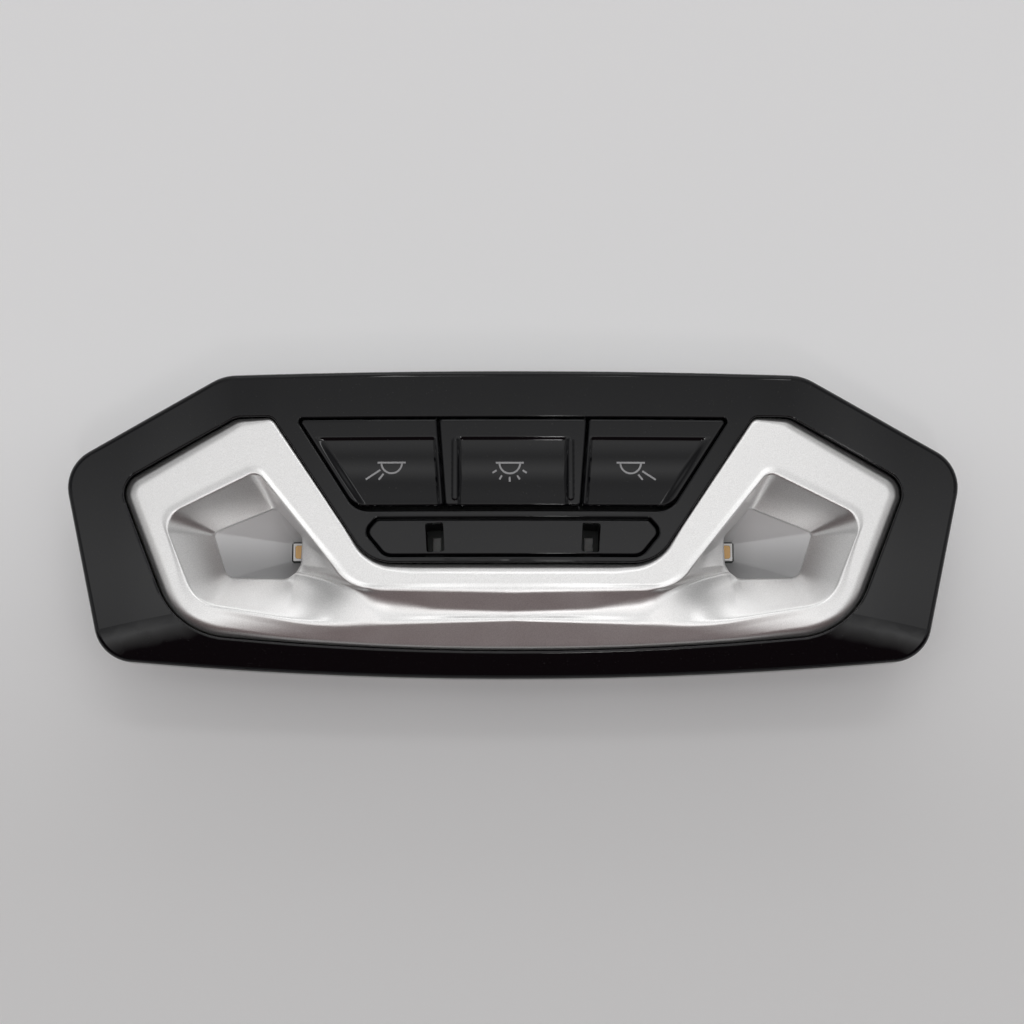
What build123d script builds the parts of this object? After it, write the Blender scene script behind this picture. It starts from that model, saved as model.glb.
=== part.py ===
from build123d import *

import os
from math import cos, degrees, radians, sin, tan

os.makedirs("parts", exist_ok=True)

# Interior reading light of a car roof. X runs along the lamp, Y up its face, Z out of the face.
# The back of the housing lies on z = 0. All sizes are in millimetres and degrees.

# Front surface: a cylinder crowned along X, cut by a slope towards the lower edge. A wall is upright and a
# surface faces the front where the Z part of its normal is within these limits
front_z = 28.0
crown_radius = 750.0
slope_start_y = -16.0
slope_angle = 26.0
slope_blend_radius = 18.0
tool_reach = 110.0
upright_limit = 0.01
facing_limit = 0.85

# Bezel outline; the corner points are those of the polygon before rounding
top_y = 30.6
top_corner_x = 58.2
top_bow = 0.5
side_corner_x = 90.7
side_corner_y = 12.1
bottom_y = -30.6
bottom_corner_x = 81.9
bottom_bow = 3.8
top_corner_radius = 10.0
side_corner_radius = 8.0
bottom_corner_radius = 8.0
bezel_wall = 2.0
bezel_skin = 2.2
bezel_edge_radius = 1.2
rim_z = 16.0

# Opening of the bezel for the silver trim, and the centre panel that it wraps
arm_top_y = 21.5
arm_inner_x = 48.1
arm_outer_x = 55.5
arm_inner_radius = 2.2
arm_outer_radius = 5.0
opening_side_x = 79.1
opening_side_y = 8.4
opening_side_radius = 4.5
opening_low_x = 66.9
opening_low_y = -21.7
opening_low_radius = 16.0
opening_bow = 3.5
panel_low_x = 28.4
panel_low_y = -8.0
panel_low_radius = 8.5
opening_edge_radius = 0.35

# Opening of the centre panel for the keys
keys_top_y = 21.1
keys_top_x = 43.4
keys_low_y = 2.2
keys_low_x = 31.2
keys_top_radius = 0.8
keys_low_radius = 5.0

# Opening of the centre panel for the light bar
bar_top_y = 0.9
bar_top_x = 27.2
bar_tip_x = 29.6
bar_tip_y = -1.8
bar_low_y = -6.9
bar_low_x = 25.4
bar_top_radius = 1.5
bar_tip_radius = 2.0
bar_low_radius = 3.0

# Silver trim: a flange behind the bezel, a raised face in the opening, a funnel behind each pocket
trim_gap = 0.2
trim_inset = 0.45
trim_edge_radius = 1.5
trim_flange = 1.0
trim_fit = 0.1
trim_skin = 1.6

# Light pocket of the right-hand side; a point is the distance from the middle and the height on the face
pocket_x = 55.0
pocket_depth = 6.8
mouth_points = {
    "top": (51.3, 10.6),
    "side": (70.2, 1.4),
    "low": (63.3, -15.7),
    "crest": (38.0, -20.9),
    "tail_low": (25.0, -18.4),
    "tail_top": (25.0, -14.8),
    "inner": (32.4, -12.4),
}
mouth_radii = {
    "top": 2.5, "side": 4.0, "low": 8.0, "crest": 3.0, "tail_low": 0.5, "tail_top": 0.5, "inner": 8.0
}
window_points = {
    "top": (48.4, 3.9),
    "side": (61.1, -1.1),
    "low": (58.2, -10.05),
    "crest": (46.6, -10.4),
    "tail_low": (44.7, -9.9),
    "tail_top": (43.3, -7.6),
    "inner": (43.05, -2.0),
}
window_radii = {
    "top": 1.5, "side": 0.8, "low": 2.2, "crest": 0.6, "tail_low": 1.0, "tail_top": 1.0, "inner": 2.2
}

# Channel between the two pockets; depths are measured from the top of the crown
channel_half = 35.0
channel_top_y = -13.4
valley_y = -16.9
valley_depth = 2.9
valley_radius = 3.0
crest_y = -21.5
crest_rise = 1.6

# Reading lights: package, phosphor face and reflector
led_x = 43.25
led_y = -4.55
led_width = 2.8
led_height = 3.5
led_thickness = 1.9
phosphor_margin = 0.38
phosphor_depth = 0.5
phosphor_radius = 0.45
reflector_wall = 2.2
reflector_gap = 0.4
reflector_foot = 0.8
reflector_lift = 0.3
seat_gap = 0.05

# Keys: outline, dished face, hinge rod and pusher
key_gap = 0.35
key_low_gap = 1.2
key_split = 0.5
split_top_x = 14.95
split_low_x = 13.5
key_inset = 0.15
key_skin = 2.2
key_wall = 1.3
key_skirt = 5.8
key_corner_radius = 0.6
key_low_radius = 4.0
dish_top_y = 17.3
dish_run = 0.8
dish_depth = 0.9
dish_sag = 1.2
dish_low_depth = 0.5
dish_side = 1.1
dish_slant = 1.9
bead_x = 11.5
bead_y = 10.6
bead_length = 12.5
bead_width = 1.3
bead_rise = 0.3
bead_round = 0.22
pivot_y = 16.8
pivot_depth = 5.4
rod_radius = 1.2
rod_clearance = 0.06
press_x = 27.0
press_y = 6.8
pusher_radius = 1.5
pusher_round = 1.1
pusher_gap = 0.1

# Light bar with its two slots
bar_gap = 0.42
bar_shift = 0.1
bar_inset = 0.3
bar_thickness = 2.2
bar_edge_radius = 0.4
slot_x = 15.45
slot_y = -3.0
slot_width = 3.6
slot_height = 5.8
slot_radius = 0.5
slot_lean = 3.2

# Key carrier: plate, key box, hinge clips, light tunnels and legs
carrier_z = 18.5
carrier_thickness = 1.8
box_gap = 0.3
box_wall = 1.2
bar_margin = 0.5
press_window = 5.0
glow_window_x = 6.0
glow_window_y = 2.4
glow_y = 12.2
clip_blade = 2.4
clip_width = 4.4
clip_rise = 1.0
clip_mouth = 1.7
centre_blade_x = 8.0
side_blade_x = 27.0
side_blade_spread = 6.0
tunnel_wall = 0.7
tunnel_gap = 0.1
tunnel_lift = 1.3
leg_radius = 2.2
leg_upper_x = 36.0
leg_upper_y = 15.0
leg_lower_x = 23.0
leg_lower_y = -2.0

# Circuit board and what stands on it; a soft dome in each switch returns the key
board_z = 11.9
board_thickness = 1.6
board_gap = 0.6
switch_side = 6.0
switch_height = 3.5
switch_bore = 1.75
switch_floor = 0.5
switch_corner = 0.5
dome_radius = 1.6
dome_rise = 1.4
dome_round = 0.7
glow_led_x = 1.6
glow_led_y = 0.8
glow_led_height = 0.6
courtesy_x = 1.7
courtesy_y = 2.9
courtesy_height = 1.0
courtesy_lens = 0.3
chip_x = 4.9
chip_y = 3.9
chip_height = 1.5
chip_lift = 0.1
chip_chamfer = 0.25
chip_place_y = -13.0
lead_pitch = 1.27
lead_count = 4
lead_width = 0.4
lead_reach = 1.0
lead_height = 0.25

# Rear housing: tub, flange and posts
flange_gap = 0.3
flange_thickness = 2.0
tub_inset = 9.0
tub_wall = 1.8
tub_floor = 2.0
tub_corner = 4.0
tub_edge_radius = 1.5
post_radius = 3.0
post_upper_x = 69.0
post_upper_y = 5.0
post_lower_x = 34.0
post_lower_y = -14.0

# Connector in the back of the housing
connector_y = -4.0
connector_x_size = 18.0
connector_y_size = 10.0
connector_sink = 0.8
connector_wall = 1.2
connector_base = 1.5
connector_gap = 0.3
connector_radius = 0.8
pin_side = 0.64
pin_gap = 0.03
pin_columns = 3
pin_rows = 2
pin_pitch_x = 4.0
pin_pitch_y = 3.4
pin_tip_z = 5.2

# Spring clips on the tub; reach is the distance from the tub wall
spring_width = 9.0
spring_thickness = 0.5
spring_upper_x = 35.0
spring_lower_x = 20.0
spring_leg_top_z = 12.5
spring_foot_z = 3.2
spring_turn = 1.3
spring_bulge = 3.0
spring_bulge_z = 11.0
spring_tip = 1.2
spring_tip_z = 14.8
spring_bend = 0.45

# Screws: countersunk ones through the flange, pan heads on the board
housing_screw_top_x = 40.0
housing_screw_top_y = 25.25
housing_screw_side_x = 83.3
housing_screw_side_y = 5.0
housing_head_radius = 2.4
housing_head_height = 1.1
housing_shank_radius = 1.3
housing_screw_length = 5.2
housing_screw_point = 0.6
screw_clearance = 0.05
boss_radius = 2.3
boss_hole_spare = 0.5
board_head_radius = 2.3
board_head_height = 1.5
board_head_round = 0.6
board_shank_radius = 1.2
board_screw_length = 6.5
recess_width = 0.6
recess_length = 2.6
recess_depth = 0.7


def corners_at(sketch, x, y):
    """Return the two mirrored corners of a sketch that lie nearest to plus and minus x at height y."""
    return [sketch.vertices().sort_by_distance((side * x, y, 0))[0] for side in (-1, 1)]


# Section plane at the left end of the crown; its local axes are Y and the height above the crown
crown_half_angle = degrees(tool_reach / crown_radius)
crown_axis = Axis((0, 0, front_z - crown_radius), (0, 1, 0))
crown_start = radians(-crown_half_angle)
crown_plane = Plane(
    origin=(crown_radius * sin(crown_start), 0, front_z + crown_radius * (cos(crown_start) - 1)),
    x_dir=(0, 1, 0),
    z_dir=(cos(crown_start), 0, -sin(crown_start)),
)
slope_plane = Plane(
    origin=(0, slope_start_y, front_z),
    x_dir=(1, 0, 0),
    z_dir=(0, -sin(radians(slope_angle)), cos(radians(slope_angle))),
)

# Body under the front surface, which gives every front piece its crown and its lower slope
with BuildPart() as front_body:
    with BuildSketch(crown_plane):
        with Locations((0, -front_z)):
            Rectangle(tool_reach, 2 * front_z)
    revolve(axis=crown_axis, revolution_arc=2 * crown_half_angle)
    split(bisect_by=slope_plane, keep=Keep.BOTTOM)
    fillet(front_body.edges().sort_by_distance((0, slope_start_y, front_z))[0], slope_blend_radius)


def under_front(depth):
    """Return the body that lies deeper than depth under the front surface."""
    return front_body.part.moved(Location((0, 0, -depth)))


with BuildSketch() as bezel_outline:
    with BuildLine():
        ThreePointArc((-top_corner_x, top_y - top_bow), (0, top_y), (top_corner_x, top_y - top_bow))
        flank = Polyline(
            (top_corner_x, top_y - top_bow),
            (side_corner_x, side_corner_y),
            (bottom_corner_x, bottom_y + bottom_bow),
        )
        ThreePointArc(
            (bottom_corner_x, bottom_y + bottom_bow),
            (0, bottom_y),
            (-bottom_corner_x, bottom_y + bottom_bow),
        )
        mirror(flank, about=Plane.YZ)
    make_face()
    fillet(corners_at(bezel_outline, top_corner_x, top_y), top_corner_radius)
    fillet(corners_at(bezel_outline, side_corner_x, side_corner_y), side_corner_radius)
    fillet(corners_at(bezel_outline, bottom_corner_x, bottom_y + bottom_bow), bottom_corner_radius)

with BuildSketch() as trim_opening:
    with BuildLine():
        ThreePointArc(
            (-opening_low_x, opening_low_y), (0, opening_low_y - opening_bow), (opening_low_x, opening_low_y)
        )
        arm = Polyline(
            (opening_low_x, opening_low_y),
            (opening_side_x, opening_side_y),
            (arm_outer_x, arm_top_y),
            (arm_inner_x, arm_top_y),
            (panel_low_x, panel_low_y),
        )
        Line((panel_low_x, panel_low_y), (-panel_low_x, panel_low_y))
        mirror(arm, about=Plane.YZ)
    make_face()
    fillet(corners_at(trim_opening, opening_low_x, opening_low_y), opening_low_radius)
    fillet(corners_at(trim_opening, opening_side_x, opening_side_y), opening_side_radius)
    fillet(corners_at(trim_opening, arm_outer_x, arm_top_y), arm_outer_radius)
    fillet(corners_at(trim_opening, arm_inner_x, arm_top_y), arm_inner_radius)
    fillet(corners_at(trim_opening, panel_low_x, panel_low_y), panel_low_radius)

with BuildSketch() as keys_opening:
    with BuildLine():
        Polyline(
            (-keys_top_x, keys_top_y),
            (keys_top_x, keys_top_y),
            (keys_low_x, keys_low_y),
            (-keys_low_x, keys_low_y),
            close=True,
        )
    make_face()
    fillet(corners_at(keys_opening, keys_top_x, keys_top_y), keys_top_radius)
    fillet(corners_at(keys_opening, keys_low_x, keys_low_y), keys_low_radius)

with BuildSketch() as bar_opening:
    with BuildLine():
        Polyline(
            (-bar_top_x, bar_top_y),
            (bar_top_x, bar_top_y),
            (bar_tip_x, bar_tip_y),
            (bar_low_x, bar_low_y),
            (-bar_low_x, bar_low_y),
            (-bar_tip_x, bar_tip_y),
            close=True,
        )
    make_face()
    fillet(corners_at(bar_opening, bar_top_x, bar_top_y), bar_top_radius)
    fillet(corners_at(bar_opening, bar_tip_x, bar_tip_y), bar_tip_radius)
    fillet(corners_at(bar_opening, bar_low_x, bar_low_y), bar_low_radius)

with BuildPart() as bezel_cavity:
    with BuildSketch(Plane.XY.offset(rim_z)):
        offset(bezel_outline.sketch, amount=-bezel_wall)
    extrude(amount=front_z)
    add(under_front(bezel_skin), mode=Mode.INTERSECT)


def front_rim(part):
    """Return the edges where the upright walls of a part meet its front surface."""
    upright = part.faces().filter_by(lambda face: abs(face.normal_at().Z) < upright_limit)
    front = part.faces().filter_by(lambda face: face.normal_at().Z > facing_limit).edges()
    return upright.edges().filter_by(lambda edge: edge in front)


# Rear flange level and the four screws that join housing and bezel
flange_z = rim_z + flange_gap
housing_screw_places = (
    (housing_screw_top_x, housing_screw_top_y), (-housing_screw_top_x, housing_screw_top_y),
    (housing_screw_side_x, housing_screw_side_y), (-housing_screw_side_x, housing_screw_side_y),
)
boss_z = flange_z + flange_thickness + seat_gap
boss_hole_z = flange_z + housing_screw_length + boss_hole_spare

with BuildPart() as bezel_bosses:
    with BuildSketch(Plane.XY.offset(boss_z)):
        with Locations(*housing_screw_places):
            Circle(boss_radius)
    extrude(amount=front_z - boss_z)
    add(under_front(bezel_skin / 2), mode=Mode.INTERSECT)

with BuildPart() as bezel_frame:
    with BuildSketch(Plane.XY.offset(rim_z)):
        add(bezel_outline.sketch)
    extrude(amount=front_z)
    add(under_front(0), mode=Mode.INTERSECT)
    fillet(front_rim(bezel_frame), bezel_edge_radius)
    add(bezel_cavity.part, mode=Mode.SUBTRACT)
    add(bezel_bosses.part)
    with BuildSketch(Plane.XY.offset(boss_z)):
        with Locations(*housing_screw_places):
            Circle(housing_shank_radius + screw_clearance)
    extrude(amount=boss_hole_z - boss_z, mode=Mode.SUBTRACT)
    with BuildSketch(Plane.XY.offset(rim_z)):
        add(trim_opening.sketch)
        add(keys_opening.sketch)
        add(bar_opening.sketch)
    extrude(amount=front_z, mode=Mode.SUBTRACT)
    fillet(front_rim(bezel_frame), opening_edge_radius)
bezel_frame.part.label = "bezel frame"
export_step(bezel_frame.part, "parts/bezel_frame.step")

# Planes of the pocket mouth and window, tilted to follow the crown
pocket_tilt = degrees(pocket_x / crown_radius)
pocket_drop = crown_radius * (1 - cos(radians(pocket_tilt)))
mouth_plane = Plane(
    origin=(0, 0, front_z - trim_inset - pocket_drop + pocket_x * tan(radians(pocket_tilt))),
    x_dir=(cos(radians(pocket_tilt)), 0, -sin(radians(pocket_tilt))),
    z_dir=(sin(radians(pocket_tilt)), 0, cos(radians(pocket_tilt))),
)
window_plane = mouth_plane.offset(-pocket_depth)
trim_flange_depth = bezel_skin + trim_fit
trim_back_depth = trim_flange_depth + trim_skin


def rounded(points, radii):
    """Return a polygon face through the named points, each corner rounded to its own radius."""
    with BuildSketch() as shape:
        with BuildLine():
            Polyline(*points.values(), close=True)
        make_face()
        for name, point in points.items():
            fillet(shape.vertices().sort_by_distance((*point, 0))[0], radii[name])
    return shape.sketch


pocket_mouth = rounded(mouth_points, mouth_radii)
pocket_window = rounded(window_points, window_radii)

with BuildPart() as pocket_tool:
    with BuildSketch(mouth_plane):
        add(pocket_mouth)
    with BuildSketch(window_plane):
        add(pocket_window)
    loft(ruled=True)
    with BuildSketch(mouth_plane):
        add(pocket_mouth)
    extrude(amount=pocket_depth)
    with BuildSketch(window_plane):
        add(pocket_window)
    extrude(amount=-pocket_depth)

with BuildPart() as pocket_funnel:
    with BuildSketch(mouth_plane):
        offset(pocket_mouth, amount=trim_skin)
    with BuildSketch(window_plane):
        offset(pocket_window, amount=trim_skin)
    loft(ruled=True)
    add(under_front(trim_flange_depth), mode=Mode.INTERSECT)

with BuildPart() as recess_tool:
    with BuildSketch(Plane.YZ) as channel_section:
        with BuildLine():
            Polyline(
                (channel_top_y, front_z),
                (channel_top_y, front_z - trim_inset),
                (valley_y, front_z - valley_depth),
                (crest_y, front_z - valley_depth + crest_rise),
                (crest_y, front_z),
                close=True,
            )
        make_face()
        fillet(channel_section.vertices().sort_by(Axis.Y)[0], valley_radius)
    extrude(amount=channel_half, both=True)
    add(pocket_tool.part)
    mirror(pocket_tool.part, about=Plane.YZ)

with BuildPart() as trim_face:
    with BuildSketch(Plane.XY.offset(rim_z)):
        offset(trim_opening.sketch, amount=-trim_gap)
    extrude(amount=front_z)
    add(under_front(trim_inset), mode=Mode.INTERSECT)
    outer_edges = front_rim(trim_face).filter_by(
        lambda edge: abs(edge.center().X) > arm_inner_x - arm_inner_radius or edge.center().Y < channel_top_y
    )
    fillet(outer_edges, trim_edge_radius)

with BuildPart() as silver_trim:
    with BuildSketch(Plane.XY.offset(rim_z)):
        offset(trim_opening.sketch, amount=trim_flange)
    extrude(amount=front_z)
    add(under_front(trim_flange_depth), mode=Mode.INTERSECT)
    add(trim_face.part)
    add(under_front(trim_back_depth), mode=Mode.SUBTRACT)
    add(pocket_funnel.part)
    mirror(pocket_funnel.part, about=Plane.YZ)
    add(recess_tool.part, mode=Mode.SUBTRACT)
silver_trim.part.label = "silver trim"
export_step(silver_trim.part, "parts/silver_trim.step")

# Reading lights. The reflector narrows from the window to the hole around the package
board_top_z = board_z + board_thickness
hole_half_x = led_width / 2 + reflector_gap
hole_half_y = led_height / 2 + reflector_gap
hole_points = {
    "top": (led_x + hole_half_x - reflector_gap, led_y + hole_half_y),
    "side": (led_x + hole_half_x, led_y + hole_half_y - reflector_gap),
    "low": (led_x + hole_half_x, led_y - hole_half_y + reflector_gap),
    "crest": (led_x + hole_half_x - reflector_gap, led_y - hole_half_y),
    "tail_low": (led_x - hole_half_x + reflector_gap, led_y - hole_half_y),
    "tail_top": (led_x - hole_half_x, led_y - hole_half_y + reflector_gap),
    "inner": (led_x - hole_half_x, led_y + hole_half_y),
}
hole_radii = dict.fromkeys(hole_points, reflector_gap / 4)
led_hole = rounded(hole_points, hole_radii)
reflector_plane = window_plane.offset(-seat_gap)

with BuildPart() as right_reflector:
    with BuildSketch(reflector_plane):
        offset(pocket_window, amount=reflector_wall)
    extrude(amount=-pocket_depth)
    split(bisect_by=Plane.XY.offset(board_top_z + reflector_lift), keep=Keep.TOP)
    with BuildSketch(reflector_plane):
        add(pocket_window)
    with BuildSketch(Plane.XY.offset(board_top_z + reflector_foot)):
        add(led_hole)
    loft(ruled=True, mode=Mode.SUBTRACT)
    with BuildSketch(Plane.XY.offset(board_top_z + reflector_foot)):
        add(led_hole)
    extrude(amount=-reflector_foot, mode=Mode.SUBTRACT)
right_reflector.part.label = "right reflector"
export_step(right_reflector.part, "parts/right_reflector.step")

with BuildPart() as left_reflector:
    mirror(right_reflector.part, about=Plane.YZ)
left_reflector.part.label = "left reflector"
export_step(left_reflector.part, "parts/left_reflector.step")

with BuildSketch() as phosphor_outline:
    with Locations((led_x, led_y)):
        RectangleRounded(led_width - 2 * phosphor_margin, led_height - 2 * phosphor_margin, phosphor_radius)

with BuildPart() as right_led_package:
    with BuildSketch(Plane.XY.offset(board_top_z)):
        with Locations((led_x, led_y)):
            Rectangle(led_width, led_height)
    extrude(amount=led_thickness)
    with BuildSketch(Plane.XY.offset(board_top_z + led_thickness)):
        add(phosphor_outline.sketch)
    extrude(amount=-phosphor_depth, mode=Mode.SUBTRACT)
right_led_package.part.label = "right led package"
export_step(right_led_package.part, "parts/right_led_package.step")

with BuildPart() as left_led_package:
    mirror(right_led_package.part, about=Plane.YZ)
left_led_package.part.label = "left led package"
export_step(left_led_package.part, "parts/left_led_package.step")

with BuildPart() as right_led_phosphor:
    with BuildSketch(Plane.XY.offset(board_top_z + led_thickness - phosphor_depth)):
        offset(phosphor_outline.sketch, amount=-seat_gap)
    extrude(amount=phosphor_depth - seat_gap)
right_led_phosphor.part.label = "right led phosphor"
export_step(right_led_phosphor.part, "parts/right_led_phosphor.step")

with BuildPart() as left_led_phosphor:
    mirror(right_led_phosphor.part, about=Plane.YZ)
left_led_phosphor.part.label = "left led phosphor"
export_step(left_led_phosphor.part, "parts/left_led_phosphor.step")


# Keys
def slant_x(y, inset):
    """Return the distance from the middle of the slanted key opening edge at height y, moved in by inset."""
    run = (keys_top_x - keys_low_x) / (keys_top_y - keys_low_y)
    return keys_low_x + (y - keys_low_y) * run - inset * (1 + run**2) ** 0.5


def split_x(y, shift):
    """Return the distance from the middle of the line between two keys at height y, moved out by shift."""
    run = (split_top_x - split_low_x) / (keys_top_y - keys_low_y)
    return split_low_x + (y - keys_low_y) * run + shift


key_top_y = keys_top_y - key_gap
key_low_y = keys_low_y + key_low_gap
key_skirt_z = front_z - key_skirt
pivot_z = front_z - pivot_depth
dome_z = board_top_z + switch_floor + seat_gap
dome_top_z = board_top_z + switch_height + dome_rise
dish_floor_y = key_low_y - dish_run

with BuildSketch() as side_key_outline:
    with BuildLine():
        Polyline(
            (split_x(key_top_y, key_split / 2), key_top_y),
            (slant_x(key_top_y, key_gap), key_top_y),
            (slant_x(key_low_y, key_gap), key_low_y),
            (split_x(key_low_y, key_split / 2), key_low_y),
            close=True,
        )
    make_face()
    corners = side_key_outline.vertices().sort_by_distance((slant_x(key_low_y, key_gap), key_low_y, 0))
    fillet(corners[0], key_low_radius)
    fillet(side_key_outline.vertices().group_by(Axis.Y)[-1], key_corner_radius)

with BuildSketch() as centre_key_outline:
    with BuildLine():
        Polyline(
            (-split_x(key_top_y, -key_split / 2), key_top_y),
            (split_x(key_top_y, -key_split / 2), key_top_y),
            (split_x(key_low_y, -key_split / 2), key_low_y),
            (-split_x(key_low_y, -key_split / 2), key_low_y),
            close=True,
        )
    make_face()
    fillet(centre_key_outline.vertices(), key_corner_radius)

# Dish: a step below the ledge and a shallow hollow down to the lower edge, carried along the crown
with BuildPart() as dish_sweep:
    with BuildSketch(crown_plane):
        with BuildLine():
            Polyline(
                (dish_floor_y, -dish_low_depth),
                (dish_floor_y, dish_depth),
                (dish_top_y, dish_depth),
                (dish_top_y, -key_inset),
                (dish_top_y - dish_run, -dish_depth),
            )
            ThreePointArc(
                (dish_top_y - dish_run, -dish_depth),
                ((dish_top_y + dish_floor_y) / 2, -dish_sag),
                (dish_floor_y, -dish_low_depth),
            )
        make_face()
    revolve(axis=crown_axis, revolution_arc=2 * crown_half_angle)

with BuildPart() as side_dish:
    with BuildSketch(Plane.XY.offset(key_skirt_z)):
        with BuildLine():
            Polyline(
                (split_x(key_top_y, dish_side), key_top_y),
                (slant_x(key_top_y, dish_slant), key_top_y),
                (slant_x(dish_floor_y, dish_slant), dish_floor_y),
                (split_x(dish_floor_y, dish_side), dish_floor_y),
                close=True,
            )
        make_face()
    extrude(amount=key_skirt + dish_depth)
    add(dish_sweep.part, mode=Mode.INTERSECT)

with BuildPart() as centre_dish:
    with BuildSketch(Plane.XY.offset(key_skirt_z)):
        with BuildLine():
            Polyline(
                (-bead_x + bead_width, key_top_y),
                (bead_x - bead_width, key_top_y),
                (bead_x - bead_width, dish_floor_y),
                (-bead_x + bead_width, dish_floor_y),
                close=True,
            )
        make_face()
    extrude(amount=key_skirt + dish_depth)
    add(dish_sweep.part, mode=Mode.INTERSECT)


def key_hollow(outline):
    """Return the space behind the skin and between the walls of a key with this outline."""
    with BuildPart() as hollow:
        with BuildSketch(Plane.XY.offset(key_skirt_z)):
            offset(outline, amount=-key_wall)
        extrude(amount=key_skirt)
        add(under_front(key_inset + key_skin), mode=Mode.INTERSECT)
    return hollow.part


def key_pusher(x):
    """Return the round post under a key that presses the switch at x."""
    with BuildPart() as pusher:
        with BuildSketch(Plane.XY.offset(dome_top_z + pusher_gap)):
            with Locations((x, press_y)):
                Circle(pusher_radius)
        extrude(amount=front_z - dome_top_z)
        fillet(pusher.edges().sort_by(Axis.Z)[0], pusher_round)
        add(under_front(key_inset + key_skin / 2), mode=Mode.INTERSECT)
    return pusher.part


with BuildPart() as right_key:
    with BuildSketch(Plane.XY.offset(key_skirt_z)):
        add(side_key_outline.sketch)
    extrude(amount=key_skirt)
    add(under_front(key_inset), mode=Mode.INTERSECT)
    add(side_dish.part, mode=Mode.SUBTRACT)
    add(key_hollow(side_key_outline.sketch), mode=Mode.SUBTRACT)
    with BuildSketch(Plane.YZ.offset(split_x(pivot_y, key_wall / 2))):
        with Locations((pivot_y, pivot_z)):
            Circle(rod_radius)
    extrude(amount=slant_x(pivot_y, key_wall) - split_x(pivot_y, key_wall / 2))
    add(key_pusher(press_x))
right_key.part.label = "right key"
export_step(right_key.part, "parts/right_key.step")

with BuildPart() as left_key:
    mirror(right_key.part, about=Plane.YZ)
left_key.part.label = "left key"
export_step(left_key.part, "parts/left_key.step")

with BuildPart() as centre_beads:
    with BuildSketch(Plane.XY.offset(key_skirt_z + key_skirt / 2)):
        with Locations((bead_x, bead_y), (-bead_x, bead_y)):
            SlotOverall(bead_length, bead_width, rotation=90)
    extrude(amount=key_skirt)
    add(under_front(key_inset - bead_rise), mode=Mode.INTERSECT)
    fillet(front_rim(centre_beads), bead_round)

with BuildPart() as centre_key:
    with BuildSketch(Plane.XY.offset(key_skirt_z)):
        add(centre_key_outline.sketch)
    extrude(amount=key_skirt)
    add(under_front(key_inset), mode=Mode.INTERSECT)
    add(centre_dish.part, mode=Mode.SUBTRACT)
    add(centre_beads.part)
    add(key_hollow(centre_key_outline.sketch), mode=Mode.SUBTRACT)
    with BuildSketch(Plane.YZ):
        with Locations((pivot_y, pivot_z)):
            Circle(rod_radius)
    extrude(amount=split_x(pivot_y, -key_wall), both=True)
    add(key_pusher(0))
centre_key.part.label = "centre key"
export_step(centre_key.part, "parts/centre_key.step")

# Light bar
with BuildSketch() as slot_outline:
    with Locations((slot_x, slot_y)):
        RectangleRounded(slot_width, slot_height, slot_radius, rotation=-slot_lean)
    with Locations((-slot_x, slot_y)):
        RectangleRounded(slot_width, slot_height, slot_radius, rotation=slot_lean)

bar_back_depth = bar_inset + bar_thickness
with BuildPart() as light_bar:
    with BuildSketch(Plane.XY.offset(key_skirt_z)):
        with Locations((0, -bar_shift)):
            offset(bar_opening.sketch, amount=-bar_gap)
    extrude(amount=key_skirt)
    add(under_front(bar_inset), mode=Mode.INTERSECT)
    fillet(front_rim(light_bar), bar_edge_radius)
    add(under_front(bar_back_depth), mode=Mode.SUBTRACT)
    with BuildSketch(Plane.XY.offset(key_skirt_z)):
        add(slot_outline.sketch)
    extrude(amount=key_skirt, mode=Mode.SUBTRACT)
light_bar.part.label = "light bar"
export_step(light_bar.part, "parts/light_bar.step")

# Key carrier
carrier_top_z = carrier_z + carrier_thickness
blade_xs = (
    -side_blade_x - side_blade_spread, -side_blade_x + side_blade_spread,
    -centre_blade_x, centre_blade_x,
    side_blade_x - side_blade_spread, side_blade_x + side_blade_spread,
)
tunnel_bottom_z = board_top_z + tunnel_lift

with BuildPart() as key_box:
    with BuildSketch(Plane.XY.offset(carrier_z)):
        offset(keys_opening.sketch, amount=box_gap + box_wall)
        offset(keys_opening.sketch, amount=box_gap, mode=Mode.SUBTRACT)
    extrude(amount=front_z - carrier_z)
    add(under_front(bezel_skin + seat_gap), mode=Mode.INTERSECT)

with BuildPart() as light_tunnels:
    with BuildSketch(Plane.XY.offset(tunnel_bottom_z)):
        offset(slot_outline.sketch, amount=tunnel_gap + tunnel_wall)
        offset(slot_outline.sketch, amount=tunnel_gap, mode=Mode.SUBTRACT)
    extrude(amount=front_z - tunnel_bottom_z)
    add(under_front(bar_back_depth + seat_gap), mode=Mode.INTERSECT)

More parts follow.
